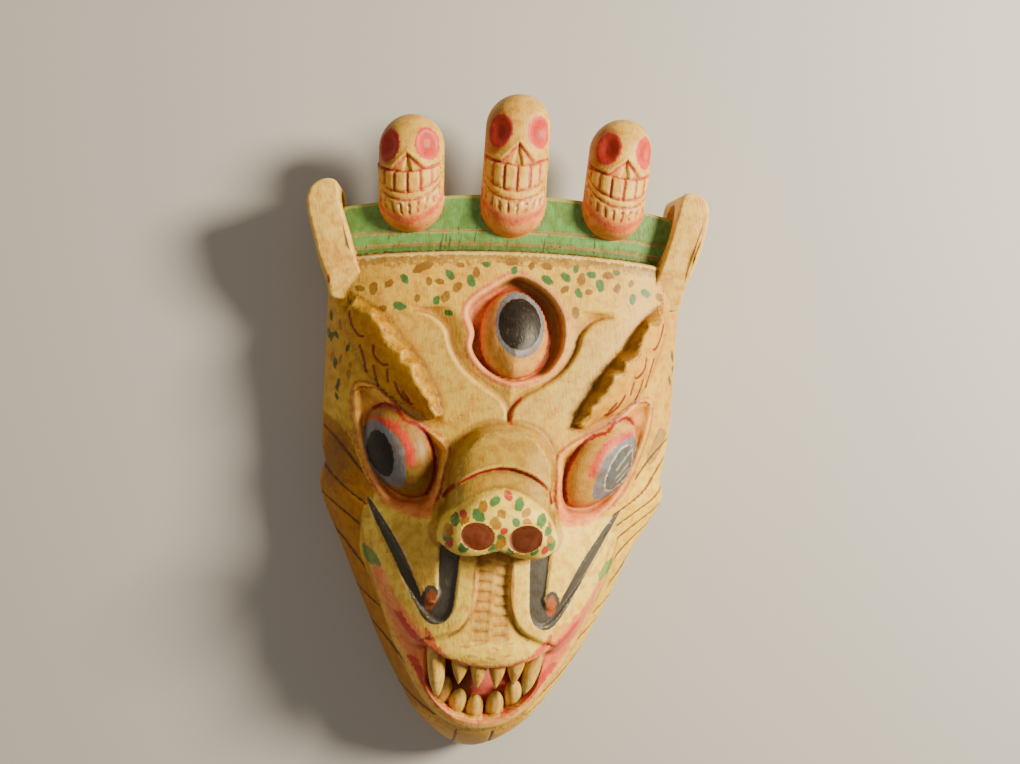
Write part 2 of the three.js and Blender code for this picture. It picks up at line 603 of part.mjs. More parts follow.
const paintedWood = new THREE.MeshStandardMaterial({ color: 0xc9a25a, roughness: 0.55, metalness: 0 });
const mask = new THREE.Mesh(geometryOf(carveMask()), paintedWood);
mask.name = 'carved_mask';
const group = new THREE.Group();
group.add(mask);

export default group;
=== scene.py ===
# %% [markdown]
# # A carved and painted guardian mask
# The real mask is one block of wood: a beast's face with a third eye, flame brows and fangs, below a
# crown band with three skulls. It was carved with gouges, painted with thin strong colours, varnished
# and then worn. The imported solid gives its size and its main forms. This script carves the same forms
# more finely, paints them, and lights them as in the photograph.

# %% The fixed frame
import functools
import math
import bmesh
import bpy
import numpy as np
from mathutils import Euler, Matrix, Vector


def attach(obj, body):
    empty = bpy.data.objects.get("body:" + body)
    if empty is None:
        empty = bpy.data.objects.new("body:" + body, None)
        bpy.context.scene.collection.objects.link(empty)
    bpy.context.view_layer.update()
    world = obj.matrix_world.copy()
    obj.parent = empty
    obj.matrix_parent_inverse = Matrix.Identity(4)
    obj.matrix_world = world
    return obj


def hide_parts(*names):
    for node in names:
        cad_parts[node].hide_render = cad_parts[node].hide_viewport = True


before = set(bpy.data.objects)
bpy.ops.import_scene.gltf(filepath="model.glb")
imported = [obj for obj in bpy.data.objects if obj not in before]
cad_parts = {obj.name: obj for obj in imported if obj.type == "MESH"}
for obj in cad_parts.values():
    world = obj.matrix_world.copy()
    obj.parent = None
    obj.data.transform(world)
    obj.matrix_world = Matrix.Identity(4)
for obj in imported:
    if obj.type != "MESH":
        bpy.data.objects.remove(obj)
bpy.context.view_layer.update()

# %% [markdown]
# ## Drawing coordinates
# The carving is drawn symmetrical, in millimetres: u runs across, v along and z up. A last step moves
# each point to its place on the real block, which leans and tilts a little, and scales it to metres.
# Everything below is worked out for whole arrays of points at once, which keeps the script quick.

# %% Small helpers for heights


def clamp(x, low=0.0, high=1.0):
    return np.minimum(high, np.maximum(low, x))


def blend(a, b, t):
    return a + (b - a) * t


def ease(low, high, x):
    """0 at low, 1 at high, smooth between; low may be above high."""
    t = clamp((x - low) / (high - low))
    return t * t * (3 - 2 * t)


def profile(pairs):
    """A smooth curve of values against v, through the given pairs."""
    knots = sorted(pairs)
    xs = np.array([k[0] for k in knots], float)
    ys = np.array([k[1] for k in knots], float)
    slopes = np.empty(len(xs))
    for i in range(len(xs)):
        before, after = max(i - 1, 0), min(i + 1, len(xs) - 1)
        slopes[i] = (ys[after] - ys[before]) / (xs[after] - xs[before])

    def value(x):
        x = clamp(np.asarray(x, float), xs[0], xs[-1])
        i = np.clip(np.searchsorted(xs, x, side="right") - 1, 0, len(xs) - 2)
        span = xs[i + 1] - xs[i]
        t = (x - xs[i]) / span
        t2, t3 = t * t, t * t * t
        start = (2 * t3 - 3 * t2 + 1) * ys[i] + (t3 - 2 * t2 + t) * span * slopes[i]
        end = (3 * t2 - 2 * t3) * ys[i + 1] + (t3 - t2) * span * slopes[i + 1]
        return start + end

    return value


# %% Carved lines


def line(points, closed=False, steps=6):
    """A smooth line through a few points, as many short straight pieces."""
    given = [np.array(p, float) for p in points]
    if closed:
        given = [given[-1]] + given + given[:2]
    else:
        given = [2 * given[0] - given[1]] + given + [2 * given[-1] - given[-2]]
    path = []
    for p0, p1, p2, p3 in zip(given, given[1:], given[2:], given[3:]):
        for k in range(steps):
            t = k / steps
            bend = (2 * p0 - 5 * p1 + 4 * p2 - p3) * t * t + (3 * p1 - p0 - 3 * p2 + p3) * t ** 3
            path.append(0.5 * (2 * p1 + (p2 - p0) * t + bend))
    path.append(given[-2])
    return np.array(path)


FAR = 60.0


def nearest(path, u, v):
    """Distance to a line, the share of the way along it, and the side: 1 on its left, -1 on its right."""
    distance = np.full(u.shape, FAR)
    share = np.zeros(u.shape)
    side = np.ones(u.shape)
    a, d = path[:-1], path[1:] - path[:-1]
    reach = 40.0
    near = (u > path[:, 0].min() - reach) & (u < path[:, 0].max() + reach)
    near &= (v > path[:, 1].min() - reach) & (v < path[:, 1].max() + reach)
    if not near.any():
        return distance, share, side
    pu, pv = u[near], v[near]
    best = np.full(pu.shape, np.inf)
    best_share = np.zeros(pu.shape)
    best_side = np.ones(pu.shape)
    for i in range(len(a)):
        du, dv = pu - a[i, 0], pv - a[i, 1]
        t = clamp((du * d[i, 0] + dv * d[i, 1]) / max(d[i] @ d[i], 1e-9))
        gap = np.hypot(du - t * d[i, 0], dv - t * d[i, 1])
        closer = gap < best
        best[closer] = gap[closer]
        best_share[closer] = (i + t[closer]) / len(a)
        cross = d[i, 0] * dv - d[i, 1] * du
        best_side[closer] = np.where(cross[closer] < 0, -1.0, 1.0)
    distance[near], share[near], side[near] = best, best_share, best_side
    return distance, share, side


def inside(path, u, v):
    """Distance to a closed line, positive inside it."""
    within = np.zeros(u.shape, bool)
    for (au, av), (bu, bv) in zip(path[:-1], path[1:]):
        if av == bv:
            continue
        crosses = (av > v) != (bv > v)
        within ^= crosses & (u < au + (v - av) / (bv - av) * (bu - au))
    distance = nearest(path, u, v)[0]
    return np.where(within, distance, -distance)


print("a line through 3 points has", len(line([(0, 0), (5, 1), (9, 4)])), "corners")

# %% [markdown]
# ## The block
# The outline of the block is a half width that changes along v, a flat arch at the crown and a
# pointed curve at the chin. The plain dome under all the carving is a superellipse across and a profile
# along, as a carver first rounds the block before cutting features into it.

# %% The block's outline and dome
HALF_WIDTH = 109.5
CHIN_V = -204.8
JAW_U, JAW_V = 38.5, -178.0
CROWN_TOP_V = 130.0
CROWN_U, CROWN_V = 97.0, 120.0
RIM_WIDTH = 12.5
CHIN_POWER = 1.6
BROW_LEVEL = 80.0
CROWN_FACE = 53.0
NOSE_TIP = 123.0
LIP_LEVEL = 97.0
CHANNEL_FLOOR = 52.0
CHANNEL_SLOPE = 8.0
CHEEK_STEP = 3.0

side_width = profile([
    (CROWN_V, CROWN_U), (96, HALF_WIDTH - 4.5), (80, HALF_WIDTH - 1.5), (56, HALF_WIDTH),
    (19, HALF_WIDTH - 0.5), (-24, HALF_WIDTH - 4), (-34, HALF_WIDTH - 7), (-46, HALF_WIDTH - 5.5),
    (-60, HALF_WIDTH - 10), (-80, HALF_WIDTH - 20), (-117, HALF_WIDTH - 37),
    (-147, HALF_WIDTH - 52), (JAW_V, JAW_U)])


def chin_v(u):
    return CHIN_V + (JAW_V - CHIN_V) * clamp(np.abs(u) / JAW_U) ** CHIN_POWER


def crown_v(u):
    return CROWN_TOP_V - (CROWN_TOP_V - CROWN_V) * (u / CROWN_U) ** 2


def block_width(v):
    share = clamp((v - CHIN_V) / (JAW_V - CHIN_V), 0.0001)
    return np.where(v >= JAW_V, side_width(v), JAW_U * share ** (1 / CHIN_POWER))


dome_top = profile([
    (130, 60), (96, 63), (60, 70), (20, 77), (0, BROW_LEVEL), (-30, BROW_LEVEL), (-60, 76), (-90, 71),
    (-135, 70), (-165, 66), (-183, 56), (-195, 40), (-203, 22), (CHIN_V, 13)])
dome_power = profile([(96, 2.8), (50, 2.4), (0, 1.8), (-24, 1.65), (-60, 1.8), (-90, 2.2), (-200, 2.2)])
shoulder = profile([(96, 30), (0, 26), (-100, 20), (-200, 14)])


def dome(u, v):
    share = clamp(np.abs(u) / block_width(v))
    power = dome_power(v)
    side = np.minimum(shoulder(v), dome_top(v))
    return blend(side, dome_top(v), (1 - share ** power) ** (1 / power))


print("dome at the brow:", float(dome(np.array(0.0), np.array(0.0))), "mm")

# %% [markdown]
# ## The lines of the face
# These are the edges that the carver drew on the block. Each is given by a few points of the right
# half and used on both sides.

# %% Edges of the carved forms
THIRD_EYE = line([
    (2, 82), (17, 75), (26, 64), (29.5, 51), (28, 38), (21, 27), (12, 22.5), (0, 20), (-10, 23),
    (-20, 30), (-25.5, 39), (-24.5, 48), (-28, 59), (-24, 67), (-11, 76)], closed=True)
FOREHEAD_FOLD = line([
    (61, 61), (47, 57.5), (39, 50), (36, 40), (29, 28.5), (18, 19.5), (7, 12.5), (1.5, 6), (0.3, 0)])
BROW_FOOT = line([(90, 68), (80, 61), (70, 52), (62, 41), (55, 33), (48, 22), (42, 12), (37, 0)])
EYE_RIM = line([
    (90.5, 13), (84, 16.5), (76, 14), (67, 7), (57, -1), (46, -6.5), (37, -12), (30, -20), (31, -32),
    (33, -46), (38, -58), (47, -58.5), (57, -56.5), (65, -52), (73, -42), (80, -30), (85, -17), (89, -4)],
    closed=True)
NOSE_ROOT = line([
    (34, -72), (33.5, -61), (31.5, -46), (31, -24), (22, -9), (12, -3), (0, -1), (-12, -3), (-22, -9),
    (-31, -24), (-31.5, -46), (-33.5, -61), (-34, -72)])
NOSE_FOLD = line([(33, -50), (29.5, -43), (25, -35.5), (16, -29), (6, -25.6), (0, -25)])
NOSE_FACE_TOP = line([(34, -60), (28, -52), (18, -43.4), (9, -38.6), (0, -36.6)])
MUZZLE = [(72, -55), (70, -72), (64.5, -88), (56, -106), (49, -118), (40, -127), (27, -136), (14, -140.5),
          (0, -142.5)]
LIP_INNER = [(72.5, -66), (68, -86), (60, -107), (48.5, -132), (39, -147), (27.5, -163.5), (14, -173.5),
             (0, -176.5)]
LIP_OUTER = [(75, -64), (71, -84), (63.5, -107), (53, -134), (43.5, -150.5), (31, -168), (16, -179),
             (0, -183)]
PHILTRUM = line([(10, -74), (10, -94), (12.5, -106), (19, -116), (32, -123)])
MOUSTACHE = line([
    (31, -70), (31, -92), (29.5, -99), (33, -104), (38, -99), (56, -73), (75, -52), (77, -53), (60, -79),
    (44, -101), (36, -111), (29, -114.5), (23, -111), (20, -101), (20, -70)], closed=True)


def apron(points, top):
    """The region below a line of the right half and its mirror image, closed over the brow."""
    right = line(points)
    left = right[::-1] * (-1, 1)
    return np.vstack([[(0, top)], right, left, [(0, top)]])


MANE_EDGE = line([
    (-126, 0), (-101, -7), (-90, -16), (-83, -27), (-77, -38), (-68, -51), (-75, -57), (-76, -68),
    (-75, -84), (-69, -98), (-60, -117), (-52, -132), (-43, -149), (-35, -161), (-24, -171),
    (-10, -178), (5, -181), (17, -179), (29, -170), (40, -157), (49, -143), (57, -126), (69, -103),
    (74, -90), (74, -65), (68, -51), (76, -43), (82, -30), (87, -20), (103, -3), (126, 2), (124, -90),
    (70, -190), (0, -235), (-70, -190), (-124, -90)], closed=True, steps=4)
MUZZLE_REGION = apron(MUZZLE, -40)
MOUTH_REGION = apron(LIP_INNER, -50)
LIP_REGION = apron(LIP_OUTER, -48)

# %% [markdown]
# ## Heights of the carving
# Each function takes the height so far and cuts or raises one form, in the order in which the forms
# lie on each other. A function of (u, v) can be sampled as finely as the mesh needs.

# %% Crown, forehead and third eye


def ledge_v(u):
    return 95.8 - 4.8 * (u / 90) ** 2


def cut_crown(u, v, z):
    band = CROWN_FACE - 5 * (u / CROWN_U) ** 2
    above = v - ledge_v(u)
    for cut in (5.5, 13.0):
        band = band - 0.9 * np.exp(-((above - cut) / 0.7) ** 2)
    lip = 1.0 * np.exp(-((above + 1.5) / 1.6) ** 2)
    return blend(z + lip, band, ease(-0.5, 1.5, above))


def cut_forehead(u, v, z):
    distance, share, side = nearest(FOREHEAD_FOLD, np.abs(u), v)
    within = ((side < 0) | (v > 60)) & (v < 62)
    depth = 4 * np.where(within, 1 - ease(0, 11, distance), 1 - ease(0, 1.6, distance))
    return z - depth * (1 - ease(0.0, 0.14, 0.14 - share))


BALL_U, BALL_V, BALL_ACROSS, BALL_ALONG, BALL_RISE = 0.0, 47.0, 20.0, 26.5, 17.0
PIT_DEPTH = 10.0


def third_ball(u, v):
    return np.hypot((u - BALL_U) / BALL_ACROSS, (v - BALL_V) / BALL_ALONG)


def carve_third_eye(u, v, z):
    pit = z - PIT_DEPTH * ease(0, 3, inside(THIRD_EYE, u, v))
    q = third_ball(u, v)
    keel = 2.5 * clamp(1 - np.abs(u) / 9) * ease(46, 36, v) * ease(0, 0.3, 1 - q)
    ball = z - PIT_DEPTH + BALL_RISE * np.sqrt(clamp(1 - q * q)) + keel
    return np.where(q < 1, np.maximum(pit, ball), pit)


# %% Brows and eyes
brow_width = profile([(0, 14), (0.1, 21), (0.3, 26), (0.6, 26), (0.8, 20), (1, 8)])
brow_rise = profile([(0, 5), (0.2, 11), (0.5, 14), (0.85, 14), (1, 9)])
BROW_CHIPS = 4.6
BROW_WALL = 5.5
CHIP_DEPTH = 5.5


def brow_place(u, v):
    """How far a point lies out from the foot of its brow, and how far along the brow."""
    distance, share, side = nearest(BROW_FOOT, np.abs(u), v)
    return np.where(side < 0, -distance, distance), share


def brow_wall(share, width):
    turn = share * BROW_CHIPS + 0.22 * np.sin(share * 11)
    chip = np.abs(np.sin(turn * math.pi)) * (0.75 + 0.25 * np.sin(share * 13 + 2))
    return np.minimum(BROW_WALL + CHIP_DEPTH * chip + 0.35 * np.sin(share * 70), width * 0.6)


def raise_brow(u, v, z):
    out, share = brow_place(u, v)
    width = brow_width(share)
    wall = brow_wall(share, width)
    rise = brow_rise(share)
    top = blend(rise, 2.0, clamp(out / width) ** 1.6)
    facet = 0.6 * np.sin(share * 61 + out * 1.3) * np.sin(out * 0.9 + share * 23)
    climb = top * ease(0, 1, out / wall) ** 0.8 + facet * ease(0, 2, out) * ease(wall, wall - 2, out)
    on = (out > 0) & (share > 0) & (share < 1) & (out < width)
    return z + np.where(on, np.where(out < wall, climb, top), 0)


EYE_U, EYE_V, EYE_TILT = 58.7, -23.0, 0.6
EYE_ALONG, EYE_ACROSS, EYE_RISE, EYE_SUNK, EYE_POINT = 30.0, 18.5, 20.0, 8.5, 1.85
TROUGH, PETAL = 5.5, 2.8


def eye_place(u, v):
    """Coordinates along and across the ball of an eye, folded to the right half."""
    du, dv = np.abs(u) - EYE_U, v - EYE_V
    along = du * math.sin(EYE_TILT) + dv * math.cos(EYE_TILT)
    across = du * math.cos(EYE_TILT) - dv * math.sin(EYE_TILT)
    return along, across


def eye_ball(u, v):
    along, across = eye_place(u, v)
    q = np.abs(along / EYE_ALONG) ** EYE_POINT + np.abs(across / EYE_ACROSS) ** EYE_POINT
    return q ** (1 / EYE_POINT)


def carve_eye(u, v, z):
    within = inside(EYE_RIM, np.abs(u), v)
    lid = 1.3 * ease(0, 1.5, within) * ease(6, 2.5, within)
    socket = z + lid - blend(TROUGH, PETAL, ease(-14, 4, v)) * ease(2.5, 8, within)
    q = eye_ball(u, v)
    ball = z - EYE_SUNK + EYE_RISE * np.sqrt(clamp(1 - q * q))
    fillet = (socket + ball + np.sqrt((socket - ball) ** 2 + 9)) / 2
    return blend(socket, fillet, ease(1.35, 1.0, q))


# %% Muzzle, mouth and nose
GOUGE_LENGTH = 5.6
lip_top = profile([(-50, 90), (-70, LIP_LEVEL), (-100, LIP_LEVEL), (-120, LIP_LEVEL - 2),
                   (-132, LIP_LEVEL - 5), (-140, LIP_LEVEL - 10)])


def gouge_row(u, v):
    """How far along its own gouge mark a point of the philtrum is, from 0 to 1."""
    return (-(v + 76) / GOUGE_LENGTH + 0.35 * np.sign(u)) % 1


def muzzle(u, v):
    a = np.abs(u)
    cheek = lip_top(v) - 38 * (a / 72) ** 2.2
    distance, _, side = nearest(PHILTRUM, a, v)
    philtrum = np.where(side < 0, 3.5 * ease(0, 2.5, distance) * ease(-136, -118, v), 0)
    sunk = 2.2 * ease(0, 1.5, inside(MOUSTACHE, a, v))
    row = gouge_row(u, v)
    gouge = 1.1 * (1 - row) ** 1.5 * ease(0, 0.12, row) * ease(4.6, 3.4, np.abs(a - 5.2))
    return cheek - philtrum - sunk - gouge * ease(-72, -78, v) * ease(-128, -122, v)


def mouth_floor(u, v):
    tongue = 10 * clamp(1 - np.abs(u + 3) / 20)
    gum = ease(-150, -162, v)
    channel = np.maximum(ease(-134, -122, v), ease(24, 33, np.abs(u)))
    raised = CHANNEL_FLOOR + 13 * ease(26, 35, np.abs(u))
    return blend(blend(37 + tongue, 49, gum), raised, channel)


def carve_mouth(u, v, z):
    out = z + 3 * ease(-0.5, 1.5, inside(LIP_REGION, u, v))
    cut = ease(0, 2.5, inside(MOUTH_REGION, u, v)) * ease(-70, -90, v)
    out = blend(out, np.minimum(mouth_floor(u, v), out), cut)
    foot = blend(-0.5, -CHANNEL_SLOPE, ease(28, 46, np.abs(u)) * ease(-76, -94, v))
    upper = ease(foot, 3, inside(MUZZLE_REGION, u, v))
    cheek = np.maximum(muzzle(u, v), z + CHEEK_STEP * ease(48, 60, np.abs(u)) * ease(-46, -54, v))
    return blend(out, np.maximum(blend(z, cheek, ease(-46, -60, v)), out), upper)


nose_top = profile([(0, BROW_LEVEL - 4), (-2, BROW_LEVEL + 4), (-6, BROW_LEVEL + 11),
                    (-14, BROW_LEVEL + 18), (-25, NOSE_TIP - 18), (-40, NOSE_TIP - 8),
                    (-50, NOSE_TIP - 1), (-58, NOSE_TIP), (-68, NOSE_TIP - 4), (-76, NOSE_TIP - 10)])
NOSE_WIDTH, WING_WIDTH = 32.5, 33.5
nose_foot = profile([(0, -71), (12, -74.5), (23, -74), (31.5, -69)])


def raise_nose(u, v, z):
    a = np.abs(u)
    root, _, root_side = nearest(NOSE_ROOT, u, v)
    wide = ease(-50, -64, v)
    edge = ease(0, blend(7, 1, wide), np.where(root_side < 0, -1, root))
    share = a / blend(NOSE_WIDTH, WING_WIDTH, wide)
    rounded = clamp(1 - share ** blend(2.6, 4.5, wide)) ** blend(0.5, 0.25, wide)
    fold, _, fold_side = nearest(NOSE_FOLD, a, v)
    face, _, face_side = nearest(NOSE_FACE_TOP, a, v)
    below = np.where(fold_side < 0, 0, 1)
    sunk = below * 4.5 * ease(0, 2, fold) * np.where(face_side > 0, ease(2.5, 0, face), 1)
    wing = 3 * ease(15, 4, np.hypot(a - 19, v + 64))
    height = blend(z, nose_top(v) - sunk + wing, edge * rounded)
    cut = ease(2, -1, v - nose_foot(a))
    nose = blend(np.maximum(height, z), z, cut)
    return np.where((a < WING_WIDTH) & (v < 0) & (v > -80), nose, z)


def mane_gap(u, v):
    """Distance to the nearest cut between two locks of the mane."""
    spacing = blend(17.0, 11.0, u > 0)
    turn = (v - blend(0.75, 0.9, u > 0) * np.abs(u) + 2.5 * np.sin(v * 0.11)) / spacing
    chin = ease(-176, -184, v)
    turn = blend(turn, u / 21.0, chin)
    return (np.abs(turn % 1 - 0.5)) * blend(spacing * 0.75, 21.0, chin)


def comb_mane(u, v, z):
    return z - 0.9 * ease(1.5, 0, mane_gap(u, v)) * ease(0, 3, inside(MANE_EDGE, u, v))


def face_height(u, v):
    z = dome(u, v)
    z = comb_mane(u, v, z)
    z = cut_forehead(u, v, z)
    z = carve_third_eye(u, v, z)
    z = carve_eye(u, v, z)
    z = raise_brow(u, v, z)
    z = carve_mouth(u, v, z)
    z = raise_nose(u, v, z)
    return cut_crown(u, v, z)


# %% [markdown]
# ## The grid on the block
# A square grid is stretched between the four edges of the block, the way a sheet is stretched
# between four bent wires: this is a Coons patch. Its columns then follow the sides of the face.

# %% From the square grid to the block's outline


def patch(s, t, inset=0.0, top_drop=0.0):
    """Places points of a unit square between the block's edges; inset draws the edges in."""
    low_v = JAW_V + inset * 0.6

    def half(v):
        return np.maximum(block_width(v) - inset, 1)

    corner_u = half(low_v)
    top_u = half(CROWN_V - top_drop)

    def bottom(k):
        u = corner_u * (2 * k - 1)
        return u, low_v + (chin_v(u * JAW_U / corner_u) - JAW_V) * (1 - inset / 40)

    def top(k):
        u = top_u * (2 * k - 1)
        return u, crown_v(u * CROWN_U / top_u) - top_drop

    side_v = blend(low_v, CROWN_V - top_drop, t)
    side_u = half(side_v)
    (bu, bv), (tu, tv) = bottom(s), top(s)
    corners_u = blend(blend(-corner_u, corner_u, s), blend(-top_u, top_u, s), t)
    v0, v1 = bottom(np.array(0.0))[1], top(np.array(0.0))[1]
    u = side_u * (2 * s - 1) + blend(bu, tu, t) - corners_u
    v = side_v + blend(bv, tv, t) - blend(v0, v1, t)
    return u, v


def read(mesh):
    """The places of a bmesh's vertices, as an array."""
    return np.array([vert.co[:] for vert in mesh.verts])


def write(mesh, places):
    for vert, place in zip(mesh.verts, places):
        vert.co = place


def slab_under(height, columns, rows, floor, steps, **edges):
    """A closed solid under a grid of heights, with flat underside at floor."""
    mesh = bmesh.new()
    bmesh.ops.create_grid(mesh, x_segments=columns, y_segments=rows, size=1)
    square = read(mesh)
    u, v = patch((square[:, 0] + 1) / 2, (square[:, 1] + 1) / 2, **edges)
    write(mesh, np.column_stack([u, v, height(u, v)]))
    rim = [edge for edge in mesh.edges if edge.is_boundary]
    for step in range(steps):
        grown = bmesh.ops.extrude_edge_only(mesh, edges=rim)["geom"]
        for vert in (g for g in grown if isinstance(g, bmesh.types.BMVert)):
            vert.co.z = blend(vert.co.z, floor, 1 / (steps - step))
        rim = [g for g in grown if isinstance(g, bmesh.types.BMEdge) and g.is_boundary]
    bmesh.ops.contextual_create(mesh, geom=rim)
    bmesh.ops.recalc_face_normals(mesh, faces=mesh.faces[:])
    return mesh


def solid(mesh, name):
    """Turns a bmesh into an object that boolean modifiers can use."""
    data = bpy.data.meshes.new(name)
    mesh.to_mesh(data)
    mesh.free()
    made = bpy.data.objects.new(name, data)
    bpy.context.scene.collection.objects.link(made)
    return made


COLUMNS, ROWS = ((190, 300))
block = solid(slab_under(face_height, COLUMNS, ROWS, 0.0, 5), "block")
print("the face has", len(block.data.vertices), "vertices")

# %% [markdown]
# ## The hollow
# The back of a mask is scooped out so that it is light and fits a face. The scoop is a low vault,
# higher behind the nose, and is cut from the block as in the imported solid.

# %% The scoop that hollows the back
vault = profile([(112, 16), (98, 34), (70, 48), (20, 56), (-50, 58), (-95, 48), (-125, 30), (-160, 24),
                 (-185, 14)])


def hollow_height(u, v):
    share = clamp(np.abs(u) / np.maximum(block_width(v) - RIM_WIDTH, 1))
    nose = 26 * ease(34, 6, np.abs(u)) * ease(-88, -62, v) * ease(2, -24, v)
    return blend(10, np.maximum(vault(v), 10), (1 - share ** 2) ** 0.5) + nose


scoop = solid(slab_under(hollow_height, 36, 54, -6.0, 1, inset=RIM_WIDTH, top_drop=20.0), "scoop")

# %% [markdown]
# ## Skulls
# Each skull is a round-ended post on the crown, carved in one with it. It starts from a sphere whose
# rings are laid out along the post, with more of them in front, where the carving is. Its sockets,
# cheek line and rows of teeth are cut by moving the surface along its radius.

# %% Carving a skull
SKULL_RADIUS, SKULL_DEPTH, SKULL_AXIS_Z = 19.0, 17.5, 51.0
SKULLS = [  # middle u, lower end v, length, lean, turn
    (-1.0, 105.0, 84.5, 0.0, 0.0),
    (-60.5, 106.5, 68.5, 0.06, -0.15),
    (59.0, 106.0, 71.5, -0.06, 0.1),
]
SOCKET_U, SOCKET_K, SOCKET_ACROSS, SOCKET_ALONG = 12.8, 0.71, 8.2, 9.2
TEETH_TOP, TEETH_FOOT = 0.475, 0.3
TOOTH_SPACING, TICK_SPACING = 7.6, 5.4


def tooth_gap(a):
    """Distance on a skull to the nearest line between two teeth."""
    return (0.5 - np.abs((a / TOOTH_SPACING) % 1 - 0.5)) * TOOTH_SPACING


def tick_gap(a):
    """Distance on a skull to the nearest tick of its lower jaw."""
    return np.abs((a / TICK_SPACING + 0.3) % 1 - 0.5) * TICK_SPACING


def skull_marks(a, k, length):
    """Distances in mm on an unrolled skull: a across its surface, k the share of its length."""
    b = k * length
    socket = 1 - np.hypot((np.abs(a) - SOCKET_U) / SOCKET_ACROSS, (b - SOCKET_K * length) / SOCKET_ALONG)
    fall = clamp(1 - np.abs(a) / 10.5) ** 1.1
    cheek = b - (length * (0.515 + 0.12 * fall) + 0.35 * clamp(np.abs(a) - 11, 0, 20))
    top = b - (TEETH_TOP * length + 0.013 * a * a)
    foot = b - (TEETH_FOOT * length + 0.021 * a * a)
    jaw = b - (0.235 * length + 0.022 * a * a)
    return socket, cheek, top, foot, jaw


def skull_depth(a, k, length):
    """How deep the carving goes below the plain post."""
    socket, cheek, top, foot, jaw = skull_marks(a, k, length)
    front = ease(29, 24, np.abs(a))
    depth = 2.6 * ease(0, 0.8, socket)
    under = ease(0.4, -1.0, cheek) * ease(-0.6, 0.4, top)
    nose = ease(0, -1.2, np.abs(a) * 1.5 - ease(0, 1, -cheek / 9) * 5) * ease(-1, 0.5, top)
    depth = depth + (1.3 * under + 1.6 * nose) * front
    depth = depth - 1.0 * np.exp(-(cheek / 1.2) ** 2) * front
    rows = ease(0.4, -0.4, top) * ease(-0.4, 0.4, foot)
    depth = depth + rows * (1.4 * ease(1.0, 0.2, tooth_gap(a)) - 0.5) * front
    for edge in (top, foot, jaw):
        depth = depth + 1.1 * np.exp(-(edge / 0.75) ** 2) * front
    lower = ease(-1.6, -2.4, jaw) * ease(-8.0, -7.0, jaw)
    return depth + lower * 1.2 * ease(0.9, 0.2, tick_gap(a)) * front


def skull_matrix(u, root_v, lean, turn):
    place = Vector((u, root_v + SKULL_RADIUS, SKULL_AXIS_Z))
    return Matrix.Translation(place) @ Matrix.Rotation(lean, 4, "Z") @ Matrix.Rotation(turn, 4, "Y")


def carve_skull(u, root_v, length, lean, turn):
    mesh = bmesh.new()
    around, along = ((84, 92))
    bmesh.ops.create_uvsphere(mesh, u_segments=around, v_segments=along, radius=1)
    ball = read(mesh)
    ring = np.arctan2(ball[:, 0], -ball[:, 1])
    angle = ring - 0.52 * np.sin(ring)
    quarter = SKULL_RADIUS * math.pi / 2
    straight = length - 2 * SKULL_RADIUS
    run = (np.arcsin(clamp(ball[:, 2], -1, 1)) / math.pi + 0.5) * (2 * quarter + straight)
    low = clamp(run / quarter) * math.pi / 2
    high = clamp((run - quarter - straight) / quarter) * math.pi / 2
    radius = SKULL_RADIUS * np.where(run < quarter, np.sin(low), np.cos(high))
    up = SKULL_RADIUS * (np.sin(high) - np.cos(low)) + clamp(run - quarter, 0, straight)
    share = (up + SKULL_RADIUS) / length
    cut = skull_depth(angle * SKULL_RADIUS, share, length) * clamp(radius / 9)
    kept = 1 - cut / SKULL_RADIUS
    x = radius * np.sin(angle) * kept
    z = radius * np.cos(angle) * kept * SKULL_DEPTH / SKULL_RADIUS
    write(mesh, np.column_stack([x, up, z]))
    bmesh.ops.transform(mesh, matrix=skull_matrix(u, root_v, lean, turn), verts=mesh.verts)
    bmesh.ops.recalc_face_normals(mesh, faces=mesh.faces[:])
    return mesh


skulls = [solid(carve_skull(*which), "skull") for which in SKULLS]
print(len(skulls), "skulls of", len(skulls[0].data.polygons), "faces")

# %% [markdown]
# ## Ears
# An ear is a thick leaf beside the crown, cupped on its inner side. Its outline is one face that is
# extruded backwards, its edges are rounded with a bevel, and a stretched ball cuts the cup.

# %% Ears
EAR_OUTLINE = [
    (84, 70), (90, 86), (95, 106), (99, 124), (101.5, 133), (109, 134), (116, 128), (117, 116), (113, 94),
    (108, 78), (104, 66)]
EAR_FRONT, EAR_BACK, EAR_DRAFT, EAR_SINK = 61.0, 22.0, 2.5, 9.0
CUP_U, CUP_V, CUP_LIFT, CUP_TURN, CUP_SIZE = 87, 112, 21, 0.24, (13.5, 24, 14)


def carve_ear(side):
    mesh = bmesh.new()
    outline = line(EAR_OUTLINE, closed=True, steps=5)[:-1]
    corners = [mesh.verts.new((u, v, EAR_FRONT)) for u, v in outline]
    front = mesh.faces.new(corners)
    back = bmesh.ops.extrude_face_region(mesh, geom=[front])["geom"]
    moved = [g for g in back if isinstance(g, bmesh.types.BMVert)]
    bmesh.ops.translate(mesh, verts=moved, vec=(0, 0, EAR_BACK - EAR_FRONT))
    sharp = [edge for edge in mesh.edges if abs(edge.verts[0].co.z - edge.verts[1].co.z) < 1]
    bmesh.ops.bevel(mesh, geom=sharp, offset=2.0, segments=4, profile=0.5, affect="EDGES", material=-1)
    places = read(mesh)
    back_share = clamp((EAR_FRONT - places[:, 2]) / (EAR_FRONT - EAR_BACK))
    outward = np.sign(places[:, 0] - (92 + (places[:, 1] - 62) * 0.24))
    places[:, 0] += outward * EAR_DRAFT * back_share
    places[:, 2] -= EAR_SINK * (1 - ease(66, 100, places[:, 1])) * (1 - back_share)
    write(mesh, places)
    bmesh.ops.recalc_face_normals(mesh, faces=mesh.faces[:])
    if side < 0:
        bmesh.ops.scale(mesh, vec=(-1, 1, 1), verts=mesh.verts)
        bmesh.ops.recalc_face_normals(mesh, faces=mesh.faces[:])
    return mesh


